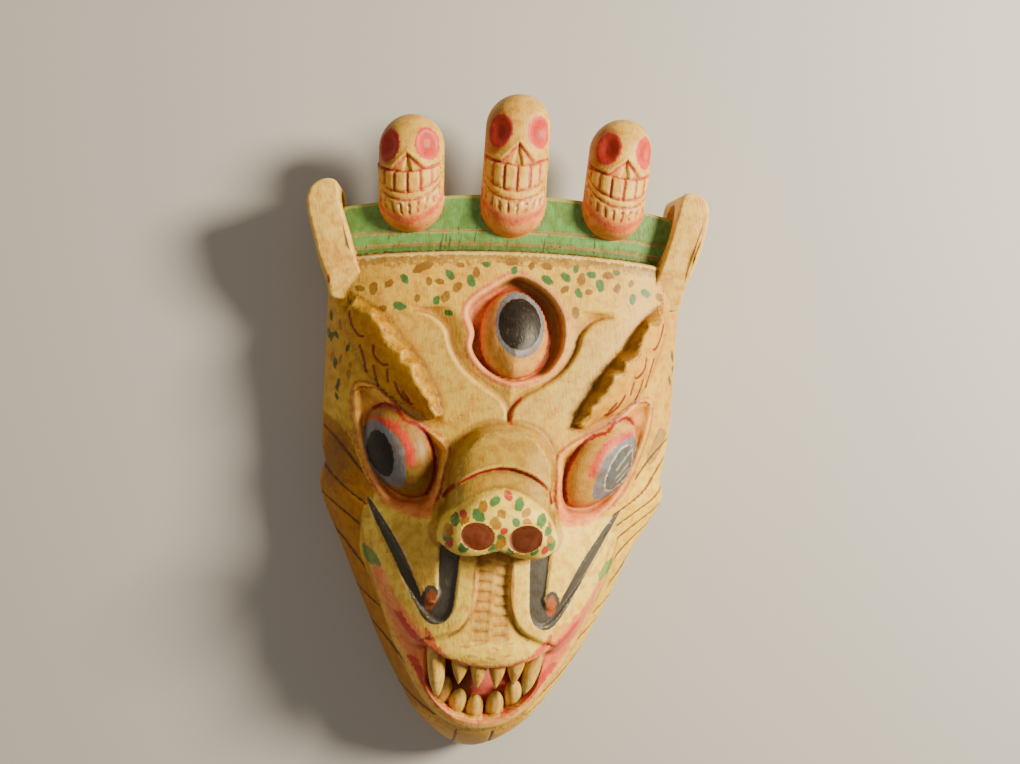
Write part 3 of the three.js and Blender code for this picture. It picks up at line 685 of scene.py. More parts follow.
def ear_cup(side):
    mesh = bmesh.new()
    bmesh.ops.create_icosphere(mesh, subdivisions=5, radius=1)
    bmesh.ops.scale(mesh, vec=CUP_SIZE, verts=mesh.verts)
    place = Matrix.Translation((side * CUP_U, CUP_V, EAR_BACK + CUP_LIFT))
    turn = Matrix.Rotation(-side * CUP_TURN, 4, "Z")
    bmesh.ops.transform(mesh, matrix=place @ turn, verts=mesh.verts)
    return mesh


ears = [solid(carve_ear(side), "ear") for side in (-1, 1)]
cups = [solid(ear_cup(side), "cup") for side in (-1, 1)]

# %% [markdown]
# ## Teeth
# The teeth are blunt pegs. Each is a half profile spun round its axis, then laid from its root to its
# tip.

# %% Teeth and tusks
UPPER_TEETH = [-14, -3.5, 7, 17]
LOWER_TEETH = [-20.5, -11.5, -1.5, 10, 20]
TUSKS = [  # root, tip, half width, half depth, bluntness
    ((-29.5, -122, 77), (-25, -160.5, 76), 5.3, 6.5, 5),
    ((30.5, -124, 76), (24, -157, 74), 4.8, 6, 5),
]
NOSTRIL_U, NOSTRIL_V, NOSTRIL_SIZE = 13, -62, (9.5, 7.3, 13)


def tooth(root, tip, across, depth, taper):
    start, end = Vector(root), Vector(tip)
    length = (end - start).length
    mesh = bmesh.new()
    rings = [k / 12 for k in range(13)]
    half = [mesh.verts.new((0, 0, 0))]
    for k in rings:
        radius = across * max(1 - k ** taper, 0) + 0.001 * (k < 1)
        half.append(mesh.verts.new((radius, 0, k * length)))
    edges = [mesh.edges.new(pair) for pair in zip(half, half[1:])]
    bmesh.ops.spin(mesh, geom=half + edges, cent=(0, 0, 0), axis=(0, 0, 1), angle=2 * math.pi,
                   steps=20, use_merge=True)
    bmesh.ops.remove_doubles(mesh, verts=mesh.verts, dist=0.005)
    bmesh.ops.scale(mesh, vec=(1, depth / across, 1), verts=mesh.verts)
    turn = (end - start).to_track_quat("Z", "Y").to_matrix().to_4x4()
    bmesh.ops.transform(mesh, matrix=Matrix.Translation(start) @ turn, verts=mesh.verts)
    bmesh.ops.recalc_face_normals(mesh, faces=mesh.faces[:])
    return mesh


teeth = []
for u in UPPER_TEETH:
    teeth.append(tooth((u, -130, 80), (u, -153.5 + 0.012 * u * u, 79), 5.8, 6, 2.4))
for u in LOWER_TEETH:
    arch = 0.024 * u * u
    teeth.append(tooth((u * 1.05, -179 + arch, 47), (u * 0.98, -162 + arch, 60), 5.4, 6, 5))
teeth += [tooth(*tusk) for tusk in TUSKS]
teeth = [solid(mesh, "tooth") for mesh in teeth]
print(len(teeth), "teeth")


def nostril(side):
    mesh = bmesh.new()
    bmesh.ops.create_icosphere(mesh, subdivisions=4, radius=1)
    bmesh.ops.scale(mesh, vec=NOSTRIL_SIZE, verts=mesh.verts)
    turn = Euler((-0.25, 0, side * 0.15), "XYZ").to_matrix().to_4x4()
    place = Matrix.Translation((side * NOSTRIL_U, NOSTRIL_V, NOSE_TIP - 4)) @ turn
    bmesh.ops.transform(mesh, matrix=place, verts=mesh.verts)
    return mesh


nostrils = [solid(nostril(side), "nostril") for side in (-1, 1)]

# %% [markdown]
# ## Joining and cutting
# Boolean modifiers join the separate forms to the block and cut the hollow from it, so that the mask
# is one closed piece of wood. Each form brings a numbered material slot, which later tells the paint
# what a face belongs to.

# %% One piece of wood
KINDS = ["face", "skull", "ear", "tooth", "nostril", "scoop", "cup"]


def mark(thing, kind):
    """Gives a form's faces the slot number of its kind."""
    for name in KINDS:
        thing.data.materials.append(bpy.data.materials.get(name) or bpy.data.materials.new(name))
    slots = np.full(len(thing.data.polygons), KINDS.index(kind), np.int32)
    thing.data.polygons.foreach_set("material_index", slots)


def work(target, operation, tools):
    for tool in tools:
        step = target.modifiers.new(operation, "BOOLEAN")
        step.operation = operation
        step.solver = "MANIFOLD"
        step.object = tool


def apply_all(target):
    """Replaces an object's mesh by what its modifiers make of it."""
    graph = bpy.context.evaluated_depsgraph_get()
    done = bpy.data.meshes.new_from_object(target.evaluated_get(graph))
    target.modifiers.clear()
    target.data = done


for things, kind in ((skulls, "skull"), (ears, "ear"), (teeth, "tooth"), (nostrils, "nostril"),
                     ([scoop], "scoop"), (cups, "cup"), ([block], "face")):
    for thing in things:
        mark(thing, kind)
for ear_leaf, cup in zip(ears, cups):
    work(ear_leaf, "DIFFERENCE", [cup])
    apply_all(ear_leaf)
work(block, "UNION", skulls + ears + teeth)
work(block, "DIFFERENCE", nostrils + [scoop])
apply_all(block)
for thing in skulls + ears + cups + teeth + nostrils + [scoop]:
    bpy.data.objects.remove(thing)
mask = block
mask.name = "carved_mask_wood"
mask.data.calc_loop_triangles()
print("joined:", len(mask.data.vertices), "vertices,", len(mask.data.loop_triangles), "triangles")

# %% [markdown]
# ## What each point of the surface is
# The paint needs to know, for each vertex, which form it lies on and how far it is from every
# painted edge. The distances are kept as attributes, in millimetres, and the material turns them into
# crisp edges with a little wobble, as a brush does.

# %% Places and kinds of the vertices
count = len(mask.data.vertices)
flat = np.empty(count * 3)
mask.data.vertices.foreach_get("co", flat)
places = flat.reshape(-1, 3)
U, V, Z = places[:, 0].copy(), places[:, 1].copy(), places[:, 2].copy()
A = np.abs(U)
slots = np.empty(len(mask.data.polygons), np.int32)
mask.data.polygons.foreach_get("material_index", slots)
corner_vertex = np.empty(len(mask.data.loops), np.int32)
mask.data.loops.foreach_get("vertex_index", corner_vertex)
corner_counts = np.empty(len(mask.data.polygons), np.int32)
mask.data.polygons.foreach_get("loop_total", corner_counts)
corner_slots = np.repeat(slots, corner_counts)
TOUCHES = {name: np.zeros(count, bool) for name in KINDS}
for slot, name in enumerate(KINDS):
    TOUCHES[name][corner_vertex[corner_slots == slot]] = True
for name in KINDS[1:]:
    TOUCHES["face"] &= ~TOUCHES[name]

# %% [markdown]
# ## Placing the carving on the real block
# The block leans: its middle line wanders, the crown tilts and the right side is cut closer. This is
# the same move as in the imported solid, after which everything is scaled to metres.

# %% The move onto the block
lean = profile([(190, -1.5), (100, -1), (60, 1.8), (20, 2.2), (-60, -1.8), (-140, -2.2), (CHIN_V, -4.5)])
right_trim = profile([
    (190, 2.5), (110, 3), (85, 5), (50, 7), (28, 6.4), (0, 3.6), (-25, 1.5), (-40, -2), (-55, 0),
    (-75, 2), (-100, 1), (-130, 0)])
CROWN_TILT = 0.043
EAR_SPREAD = 2.5


def on_the_block(u, v, z):
    x = u - right_trim(v) * ease(62, 104, u) + lean(v)
    x = x - EAR_SPREAD * ease(84, 98, -u) * ease(98, 124, v)
    y = v + CROWN_TILT * ease(-30, 95, v) * u
    return np.column_stack([x, y, z])


moved = on_the_block(U, V, Z)
middle = (moved.min(axis=0) + moved.max(axis=0)) / 2
SHIFT = (-middle[0], -middle[1], 0.0)
moved = (moved + SHIFT) / 1000
print("shift to the middle:", SHIFT)
mask.data.vertices.foreach_set("co", moved.ravel())
mask.data.update()
for polygon in mask.data.polygons:
    polygon.use_smooth = True

# %% [markdown]
# ## Where each paint lies
# A coat of paint is given by how far each vertex is inside the painted area, in millimetres, below
# zero outside it. The vertices are about a millimetre apart, but the distance changes evenly between
# them, so the edge that the material draws at zero is much finer than the mesh. The coats are listed
# from the first that was brushed on to the last.

# %% Helpers for coats of paint
coats = []


def coat(name, within, colour, soft=0.3, wobble=0.5, strength=1.0, part="face"):
    """Notes one coat: its distances, its colour, how soft and uneven its edge is, and how it covers."""
    within = np.where(TOUCHES[part], clamp(within, -FAR, FAR), -FAR)
    coats.append((name, within, colour, soft, wobble, strength))


def overlap(*areas):
    """Inside all of the areas at once."""
    return functools.reduce(np.minimum, areas)


def stripe(distance, middle, half):
    """A stripe along an edge, around the given distance from it."""
    return half - np.abs(distance - middle)


def only(where):
    """Adding this keeps a coat to where a condition holds."""
    return np.where(where, 0, -FAR)


def closed(points):
    return line(points, closed=True, steps=4)


def both(points):
    """Inside an area that lies on both halves of the face."""
    return inside(closed(points), A, V)


def stroke(paths, half, u=None):
    """Distance into lines of a brush, of the given half width."""
    gap = np.full(U.shape, FAR)
    for points in paths:
        gap = np.minimum(gap, nearest(line(points), A if u is None else u, V)[0])
    return half - gap


def dabs(places, across, along, turn=0.0, swing=0.9):
    """Distance into many small leaf-shaped dabs; each lies its own way."""
    within = np.full(U.shape, -FAR)
    for k, (du, dv) in enumerate(places):
        angle = turn + swing * math.sin(k * 2.4)
        size = 1 + 0.2 * math.sin(k * 1.7)
        x, y = U - du, V - dv
        s = x * math.cos(angle) + y * math.sin(angle)
        t = y * math.cos(angle) - x * math.sin(angle)
        within = np.maximum(within, (1 - np.hypot(s / across, t / along) / size) * across)
    return within


for name, touched in TOUCHES.items():
    print(name, "is touched by", int(touched.sum()), "vertices")

# %% [markdown]
# ## The face's broad colours
# The ground is a warm cream over the whole face. The mane is ochre, the mouth's channel pink, and the
# lip a pale orange.

# %% Colours
CREAM, PALE, GREY_OCHRE = (0.72, 0.48, 0.052), (0.84, 0.65, 0.085), (0.36, 0.225, 0.026)
GREEN, OLIVE, LEAF_GREEN = (0.12, 0.30, 0.075), (0.11, 0.12, 0.025), (0.065, 0.17, 0.045)
OCHRE, BROWN, LEAF_OCHRE = (0.30, 0.14, 0.012), (0.17, 0.07, 0.012), (0.27, 0.135, 0.012)
PINK, SALMON = (0.84, 0.25, 0.09), (0.80, 0.36, 0.06)
RED, CRIMSON = (0.60, 0.045, 0.03), (0.30, 0.015, 0.01)
BLACK, SOOT = (0.014, 0.010, 0.007), (0.07, 0.068, 0.06)
SLATE, CHALK = (0.19, 0.19, 0.225), (0.62, 0.55, 0.36)
IVORY, BONE, SKULL_RED = (0.66, 0.44, 0.085), (0.78, 0.50, 0.07), (0.50, 0.07, 0.035)
MANE_OCHRE, BROW_OCHRE, RAW_YELLOW = (0.46, 0.20, 0.008), (0.60, 0.28, 0.006), (0.46, 0.26, 0.006)

# %% Mane, temples, lip and channel
CHEEK_EDGE = closed([
    (-60, -40), (-72, -56), (-75, -71), (-69, -80), (-62, -88), (-55, -100), (-47, -110), (-38, -120),
    (-28, -134), (-14, -139.5), (0, -141.5), (14, -139.5), (27, -134), (38, -121), (49, -109), (57, -100),
    (65, -89), (72, -80), (76, -67), (72, -56), (60, -40), (0, -20)])

mane = inside(MANE_EDGE, U, V)
coat("temple", ease(80, 112, A) * ease(-10, 20, V) * 8 - 4, (0.60, 0.30, 0.045), 5, 1.5, 0.7)
coat("mane", mane, MANE_OCHRE)
# Painted light: the right half of the mane, which faces the key light, is painted lighter.
coat("mane_right_painted_light", overlap(mane, U - 30), (0.9, 0.58, 0.03), 3, 2, 0.95)
coat("mane_dark", overlap(mane, 11 - np.hypot((U + 95) / 0.9, (V + 30) / 1.6)), BROWN, 6, 4, 0.6)
MANE_PATCH = line([(97, -1), (104, -4), (96, -22), (89, -20), (97, -1)], steps=2)
coat("mane_patch", inside(MANE_PATCH, U, V), (0.34, 0.19, 0.06), 0.5, 0.6, 0.8)
coat("chin", overlap(mane, -175 - V), (0.72, 0.4, 0.035), 3, 2, 0.8)
lip = np.where(V < -58, inside(LIP_REGION, U, V), -FAR)
coat("lip", lip, (0.76, 0.40, 0.07))
coat("lip_lit", overlap(lip, stripe(lip, 3, 3.2)), (0.88, 0.56, 0.12), 1.5, 1, 0.5)
channel = np.where(V < -62, inside(MOUTH_REGION, U, V), -FAR)
coat("channel", channel + 0.8, PINK, 1.0, 1.0, 0.95)
# Painted light: the left side of the channel is painted lighter, where the muzzle shades it.
coat("channel_left_painted_light", overlap(channel + 0.8, -U), (0.95, 0.42, 0.14), 1.0, 1.0, 0.8)
coat("channel_red", overlap(channel, ease(-80, -128, V) * 8 - 4), (0.74, 0.14, 0.07), 3, 3, 0.5)
upper_lip = inside(CHEEK_EDGE, U, V)
coat("upper_lip", overlap(upper_lip, np.where(V < -40, FAR, -FAR)), PALE, 1.0, 1.2, 0.9)
# Painted shade: the cheek between the moustache's black lines is painted a darker tan on the left side.
CHEEK_SHADE_AREA = [(60, -66), (44, -96), (33, -93), (33, -68), (46, -60)]
coat("cheek_painted_shade", overlap(both(CHEEK_SHADE_AREA), -U * 0.2 + 2), (0.60, 0.38, 0.05), 4, 2, 0.7)
coat("lip_edge", stripe(upper_lip, 1, 2.2) + only(V < -112), SALMON, 1.5, 1.0, 0.7)
over_teeth = only((V < -118) & (A < 36))
coat("lip_gum", stripe(upper_lip, 1.9, 2.1) + over_teeth, (0.64, 0.06, 0.04), 0.8, 1.2, 0.85)
LIP_MARKS = [(-13, -127), (-5, -125), (4, -127), (13, -124), (-9, -132), (2, -133), (11, -131)]
coat("lip_marks", dabs(LIP_MARKS, 3.2, 0.8, 0, 0.3), (0.42, 0.22, 0.05), 0.6, 0.6, 0.6)
print(len(coats), "coats on the broad forms")

# %% [markdown]
# ## Mouth
# The mouth is dark red in its depth and pink where light falls on it. A red line runs round each gum,
# and the tongue lies above the lower teeth.

# %% Mouth
deep = overlap(76 - Z, 30 - A, channel, -118 - V)
coat("mouth", deep, (0.16, 0.03, 0.008), 2.0, 1.5, 0.95)
# Painted light: the right half of the mouth's depth is painted pink where light falls on it.
coat("mouth_painted_light", overlap(deep, U * 0.35 - 2), (0.74, 0.17, 0.1), 3, 2, 0.85)
tongue = (1 - np.hypot((U - 6) / 20, (V + 157) / 11)) * 12
coat("tongue", overlap(tongue, 72 - Z, U + 4), (0.66, 0.12, 0.09), 1.2, 1)
coat("lower_gum", stripe(channel, 1.5, 2.4) + only(V < -140), (0.62, 0.07, 0.05), 0.8, 0.8)
gum_edge = inside(MUZZLE_REGION, U, V)
coat("upper_gum", overlap(stripe(gum_edge, 1.2, 2.2), -112 - V), (0.62, 0.05, 0.04), 0.8, 0.8)

# %% Upper lip: moustache, curls, philtrum and leaves
MOUSTACHE_PAINT = [
    (20, -71), (20.5, -96), (21.5, -107), (25, -113.5), (31, -115.9), (36.5, -113.5), (42.5, -105),
    (49.5, -93), (58.5, -78), (70, -60), (74, -50.5), (67, -57.5), (57.5, -68.5), (49.5, -80),
    (43.5, -91), (39.5, -100), (37, -106), (34, -109), (31, -107), (29.8, -98), (30.5, -77), (29, -71)]
PHILTRUM_LINE = [(8.5, -72), (10.5, -87), (10.5, -98), (12, -108), (15.5, -117), (22, -122)]
LEAF = [(74, -79), (68, -81), (63, -86), (64, -91), (70, -89), (73, -85)]
PINK_LEAF = [(-67, -89), (-62, -90), (-61, -96), (-62, -100), (-66, -97)]
CURL = [(34, -96), (30.5, -99), (30.5, -105), (33.5, -109), (36.8, -107), (36.8, -101)]
philtrum = overlap(11 - A, -72 - V, V + 124)
coat("philtrum", philtrum, (0.62, 0.34, 0.07), 1.0, 0.6, 0.7)
gouges = 1.6 - gouge_row(U, V) * GOUGE_LENGTH
coat("gouges", overlap(philtrum, stripe(A, 5.2, 4.2), gouges), (0.42, 0.19, 0.06), 1.2, 0.5, 0.6)
coat("philtrum_line", stroke([PHILTRUM_LINE], 0.9), (0.40, 0.17, 0.05), 0.7, 0.4, 0.8)
coat("moustache", both(MOUSTACHE_PAINT), SOOT, 0.3, 0.25)
coat("moustache_chips", stripe(both(MOUSTACHE_PAINT), -0.8, 0.3), CHALK, 0.3, 0.9, 0.5)
coat("curl_ring", both(CURL) + 2.0, SOOT, 0.4, 0.4)
coat("curl", both(CURL) - 0.3, (0.36, 0.09, 0.03), 0.5, 0.5)
coat("leaf", both(LEAF), GREEN, 0.5, 0.8, 0.9)
coat("pink_leaf", inside(closed(PINK_LEAF), U, V), PINK, 0.6, 0.8, 0.9)
print(len(coats), "coats so far")

# %% [markdown]
# ## Nose
# The top of the nose is a darker ochre. Its front is paler and dotted in three colours, and a dark red
# line runs in the fold above it.

# %% Nose
on_nose = overlap(ease(0, 1, 34 - A) * 6 - 3, Z - dome(U, V) - 4)
nose_front = np.where(V < -36.6 - 0.02 * A ** 2, 1, -1) * nearest(NOSE_FACE_TOP, A, V)[0]
on_nose = overlap(on_nose, V - nose_foot(A) + 1)
coat("nose_top", overlap(on_nose, -4 - V), GREY_OCHRE, 2.5, 1.5, 0.8)
coat("nose_front", overlap(nose_front, on_nose, 33.5 - A), PALE, 0.8, 0.6)
NOSE_LINE = [(31, -47), (29, -42.5), (25, -36.5), (16, -30.5), (6, -27.2), (0, -26.6)]
coat("nose_line", stroke([NOSE_LINE], 0.95), CRIMSON, 0.4, 0.4)
snout_front = Z - 107
NOSE_DABS = {  # width and length of a dab, its colour, the places
    "nose_green": (2.4, 3.4, (0.08, 0.21, 0.06), [
        (-25, -54), (-13, -51), (-5, -43), (7, -53), (8, -44), (21, -52), (0, -62), (25, -57), (27, -64),
        (-4, -68), (18, -68), (-28, -64), (-19, -67), (6, -69)]),
    "nose_ochre": (2.3, 3.2, (0.40, 0.20, 0.012), [
        (-11, -46), (-4, -54), (12, -48), (26, -61), (-28, -60), (0, -65), (-1, -49), (-20, -54),
        (13, -54)]),
    "nose_red": (1.9, 2.5, (0.48, 0.06, 0.035), [
        (-21, -51), (2, -40), (1, -58), (27, -54), (24, -67), (-27, -67)]),
}
for name, (across, along, colour, where) in NOSE_DABS.items():
    coat(name, overlap(snout_front, dabs(where, across, along)), colour, 0.3, 0.4)
print(len(coats), "coats so far")

# %% [markdown]
# ## Eyes
# A bulging eye has an ochre ball, a slate iris with a black pupil, and a red crescent beside the iris.
# The right pupil is faded and scratched. The lid is salmon with a crimson line. The third eye is the
# same, upright in its pit.

# %% Eyes
EYE_IRIS = [
    (76, -5.5), (70, -8), (62, -13.5), (57, -20), (54.5, -28), (53.5, -36), (54.5, -42), (60, -43.5),
    (66, -42), (73, -38), (79, -29), (82, -20), (81, -11)]
EYE_PUPIL = [
    (75, -12), (69, -13), (64, -19), (61, -28), (61.5, -36), (65, -38), (70, -35.5), (75, -30),
    (78, -21)]
LID_LINE = [
    (76, 1), (70, 4), (63, 1), (58, -4.5), (51, -7), (44.5, -12), (41, -19), (38, -27), (37, -36),
    (40, -46)]
PETAL_LINE = [(58, 0), (66, 7), (74, 12), (84, 13), (89, 10)]
CRESCENT = [(74, -6), (64, -8.5), (58, -13), (54, -19.5), (51.5, -28)]
SCRATCHES = [[(66, -26), (72, -18), (76, -14)], [(67, -31), (75, -22)], [(69, -33), (77, -25)]]
rim = inside(EYE_RIM, A, V)
ball = (1 - eye_ball(U, V)) * EYE_ACROSS
coat("lid", rim, (0.86, 0.42, 0.07), 1.0, 0.8, 0.85)
coat("lid_pink", overlap(rim, -ball, -36 - V), PINK, 2, 1.5, 0.8)
coat("lid_rim_line", stripe(rim, 0.4, 0.9) + only(V > -50), CRIMSON, 0.6, 0.9, 0.55)
coat("ball", ball, (0.56, 0.32, 0.05), 0.8, 0.4)
# Painted shade: the left eye's ball is painted darker than the right one.
coat("ball_left_painted_shade", overlap(ball, -U), (0.29, 0.16, 0.028), 0.8, 0.4)
coat("ball_pink", 2 - np.abs(ball), (0.60, 0.17, 0.06), 2.0, 1.0, 0.5)
coat("crescent", overlap(stroke([CRESCENT], 2.6), ball), RED, 1.8, 1.0, 0.95)
coat("iris", overlap(both(EYE_IRIS), ball), SLATE, 0.5, 0.6)
coat("pupil", overlap(both(EYE_PUPIL), ball), BLACK, 0.4, 0.5)
coat("faded_pupil", overlap(both(EYE_PUPIL), ball, U), (0.1, 0.11, 0.12), 0.5, 0.5)
coat("pupil_line", overlap(stripe(both(EYE_PUPIL), -0.6, 0.5), U), CHALK, 0.3, 0.7, 0.8)
coat("pupil_scratches", overlap(stroke(SCRATCHES, 0.6, U), ball), CHALK, 0.3, 0.5, 0.5)
coat("lid_line", stroke([LID_LINE], 1.1), CRIMSON, 0.4, 0.6)
coat("petal_line", stroke([PETAL_LINE], 0.6), CRIMSON, 0.5, 0.8, 0.8)

# %% Third eye
pit = inside(THIRD_EYE, U, V)
third = (1 - third_ball(U, V)) * BALL_ACROSS
coat("pit_pink", overlap(pit + 2.5, -third), (0.8, 0.3, 0.12), 1.2, 0.8)
# Partly painted shade: the pit's right and upper wall is its own darker ochre, darkened further where
# shade falls.
coat("pit_ochre_and_shade", overlap(pit, -third, U * 0.8 + (V - 50) * 0.35 - 3), (0.4, 0.18, 0.03), 2, 1)
coat("pit_edge", overlap(stripe(pit, -2.4, 0.8), -U + 8), (0.56, 0.1, 0.05), 0.6, 0.9, 0.6)
coat("third_ball", third, (0.64, 0.33, 0.07), 0.8, 0.4)
coat("third_red", stripe(third, -0.2, 1.4), RED, 1.6, 1.0, 0.75)
coat("third_orange", overlap(third, 8 - np.hypot(U + 14, V - 55)), (0.62, 0.2, 0.06), 4, 1, 0.4)
iris_gap = (1 - np.hypot((U - 3) / 14.5, (V - 54) / 19.5)) * 15
coat("third_iris", overlap(iris_gap, third), SLATE, 0.5, 0.5)
pupil_gap = (1 - np.hypot((U - 2.3) / 12.3, (V - 53.7) / 15)) * 12
coat("third_pupil", overlap(pupil_gap, third), BLACK, 0.4, 0.4)
print(len(coats), "coats so far")

# %% [markdown]
# ## Forehead and brows
# The forehead is sown with small green and ochre leaves. The brows are a darker ochre with curled
# red-brown strokes, and their cut inner walls are raw yellow.

# %% Forehead leaves
GREY_PATCH = [(22, 10), (36, 46), (58, 52), (50, 28), (40, 6)]
FOLD_LINE = [(57, 60), (46, 57), (38.5, 50), (35.5, 40), (28.5, 28.5), (18, 19.5)]
coat("forehead_grey", both(GREY_PATCH), (0.52, 0.37, 0.07), 6, 3, 0.6)
coat("root_grey", 15 - np.hypot(U * 0.6, V - 4), (0.50, 0.34, 0.07), 7, 4, 0.5)
coat("fold_line", stroke([FOLD_LINE], 0.7), (0.40, 0.14, 0.05), 0.6, 0.5, 0.6)
coat("fold_heart", stroke([[(6, 12), (1.5, 6), (1, 0), (1.5, -3)]], 1.0, U), RED, 0.5, 0.6, 0.9)
GREEN_LEAVES = [
    (-63, 78), (-66, 62), (-45, 66), (-38, 59), (-37, 81), (-25, 78), (-16, 88), (0, 85), (19, 80),
    (30, 82), (36, 87), (45, 84), (50, 78), (37, 73), (60, 86), (70, 71), (80, 75), (99, 76)]
OCHRE_LEAVES = [
    (-72, 75), (-81, 72), (-89, 72), (-56, 67), (-55, 84), (-51, 86), (-49, 77), (-43, 77), (-40, 68),
    (-33, 74), (-31, 87), (-22, 83), (-1, 90), (-76, 60), (10, 88), (19, 88), (39, 81), (29, 75),
    (43, 74), (35, 62), (55, 84), (69, 80), (60, 77), (92, 73)]
TEMPLE_GREEN = [
    (-106, 56), (-107, 45), (-105, 43), (-102, 44), (-102, 27), (-99, 13), (-99, 6), (-95, 36),
    (-95, 65), (105, 40), (106, 33), (104, 26)]
TEMPLE_OCHRE = [(-100, 50), (-97, 59), (-99, 29), (-93, 26), (-104, 30), (-93, 20)]
coat("forehead_green", dabs(GREEN_LEAVES, 2.1, 3.3, 0.6), LEAF_GREEN, 0.3, 0.4)
coat("forehead_ochre", dabs(OCHRE_LEAVES, 2.1, 3.3, -0.9), LEAF_OCHRE, 0.3, 0.4)
coat("temple_green", dabs(TEMPLE_GREEN, 1.2, 3.4, 0.1, 0.3), OLIVE, 0.3, 0.4)
coat("temple_ochre", dabs(TEMPLE_OCHRE, 1.2, 3.0, 0.1, 0.3), (0.36, 0.15, 0.03), 0.3, 0.4, 0.8)

# %% Brows
brow_out, brow_share = brow_place(U, V)
brow_across = brow_width(brow_share)
wall_at = brow_wall(brow_share, brow_across)
on_brow = overlap(brow_out, brow_across - brow_out, np.minimum(brow_share, 1 - brow_share) * 90)
coat("brow", on_brow, BROW_OCHRE, 0.6, 0.6)
# Painted light: the right brow's top, which faces the key light, is painted lighter.
coat("brow_right_painted_light", overlap(on_brow, U), (0.7, 0.38, 0.025), 0.8, 0.6, 0.8)
on_wall = overlap(on_brow + 0.5, wall_at - brow_out)
coat("brow_wall", on_wall, RAW_YELLOW, 0.6, 0.9)
coat("brow_shadow", overlap(on_wall, U), OCHRE, 0.8, 0.9, 0.8)
brow_chips = np.sin(brow_share * 52 + brow_out * 0.7) + 0.6 * np.sin(brow_share * 131 - brow_out * 1.1)
coat("wall_chips", overlap(on_brow + 0.3, wall_at - brow_out, (brow_chips - 0.5) * 2),
    (0.3, 0.13, 0.006), 0.8, 1.6, 0.7)
BROW_STROKES = [
    [(95, 58), (93, 50), (89, 44), (86, 43)], [(88, 38), (85, 30), (83, 22)],
    [(80, 38), (79, 32), (74, 27), (71, 27)], [(79, 26), (77, 19), (75, 13)], [(71, 24), (70, 17)],
    [(66, 17), (63, 11), (58, 6), (55, 5)], [(61, 12), (57, 7)]]
above_wall = brow_out - wall_at - 0.5
coat("brow_strokes", overlap(stroke(BROW_STROKES, 0.8), above_wall), (0.20, 0.035, 0.003), 0.4, 0.25)
print(len(coats), "coats so far")

# %% [markdown]
# ## Crown, skulls and ears
# The crown band is green with tan lines in its cuts, above a bare, cracked ledge. The skulls are the
# colour of bone, with red sockets and lines and a pink chin.

# %% Crown band and ledge
ledge = V - ledge_v(U)
coat("ledge_dirt", stripe(ledge, -3.0, 3.6), (0.26, 0.14, 0.03), 1.8, 4.0, 0.7)
coat("ledge", stripe(ledge, -1.2, 0.9), (0.7, 0.58, 0.27), 0.5, 2.2, 0.9)
coat("crown", ledge - 1.0, GREEN, 0.4, 0.9)
coat("crown_lines", 1.0 - np.minimum(np.abs(ledge - 5.5), np.abs(ledge - 13)) + only(ledge > 0),
    (0.42, 0.32, 0.12), 0.5, 0.9, 0.8)
coat("ledge_crack", stripe(ledge, 0.7, 0.9), (0.1, 0.06, 0.02), 0.5, 1.4, 0.9)

# %% Skulls
skull_a, skull_b = np.full(count, FAR), np.full(count, FAR)
socket_in, cheek_gap, top_gap, foot_gap, jaw_gap = (np.full(count, -FAR) for _ in range(5))
here = np.column_stack([U, V, Z, np.ones(count)])
for middle_u, root_v, length, tilt, turn in SKULLS:
    back_to_post = np.array(skull_matrix(middle_u, root_v, tilt, turn).inverted())
    local = here @ back_to_post.T
    near = (np.abs(local[:, 0]) < 22) & (np.abs(local[:, 1] + SKULL_RADIUS - length / 2) < length / 2 + 4)
    near &= V > 95
    turned = np.arctan2(local[near, 0], local[near, 2] * SKULL_RADIUS / SKULL_DEPTH)
    skull_a[near] = turned * SKULL_RADIUS
    skull_b[near] = (local[near, 1] + SKULL_RADIUS) / length
    marks = skull_marks(skull_a[near], skull_b[near], length)
    socket_in[near], cheek_gap[near], top_gap[near], foot_gap[near], jaw_gap[near] = marks
skull_front = ease(30, 26, np.abs(skull_a))
skull_side = only(skull_front > 0)
coat("bone_top", (skull_b - 0.8) * 40, (0.50, 0.30, 0.07), 8, 4, 0.5, "skull")
coat("bone_chin", -7.5 - jaw_gap, (0.86, 0.30, 0.10), 2.0, 1.2, 0.8, "skull")
coat("bone_root", overlap(-9.5 - jaw_gap, 13.5 + jaw_gap), (0.66, 0.1, 0.05), 2, 1.2, 0.8, "skull")
ticks = overlap(1.0 - tick_gap(skull_a), -1.5 - jaw_gap, jaw_gap + 8) + skull_side
coat("tick_lines", ticks, SKULL_RED, 0.5, 0.9, 0.85, "skull")
cheek_pink = overlap(stripe(cheek_gap, -2.4, 1.8), top_gap) + skull_side
coat("cheek_pink", cheek_pink, PINK, 1.2, 0.8, 0.6, "skull")
for name, gap in (("top_line", top_gap), ("foot_line", foot_gap), ("jaw_line", jaw_gap)):
    coat(name, 0.8 - np.abs(gap) + skull_side, SKULL_RED, 0.5, 0.7, 0.9, "skull")
coat("cheek_line", stripe(cheek_gap, -1.6, 0.8) + skull_side, SKULL_RED, 0.5, 0.7, 0.9, "skull")
tooth_lines = overlap(1.0 - tooth_gap(skull_a), -top_gap, foot_gap) + skull_side
coat("tooth_lines", tooth_lines, SKULL_RED, 0.5, 0.6, 0.9, "skull")
chip_row = 0.8 - np.abs(jaw_gap + 3.4 + 1.4 * np.sin(skull_a * 0.9 + 1))
jaw_chips = overlap(chip_row, np.sin(skull_a * 1.9) * 1.5 + 0.2) + skull_side
coat("jaw_chips", jaw_chips, (0.92, 0.74, 0.40), 0.5, 1.0, 0.85, "skull")
coat("socket", socket_in * 8 + 0.4, (0.64, 0.055, 0.035), 0.5, 0.6, 1, "skull")
# Painted shade: each socket is painted a darker red towards its middle and its left side.
coat("socket_painted_shade", socket_in * 8 - 2.0 - skull_a * 0.4, (0.26, 0.012, 0.008), 3.0, 1.5, 0.6, "skull")

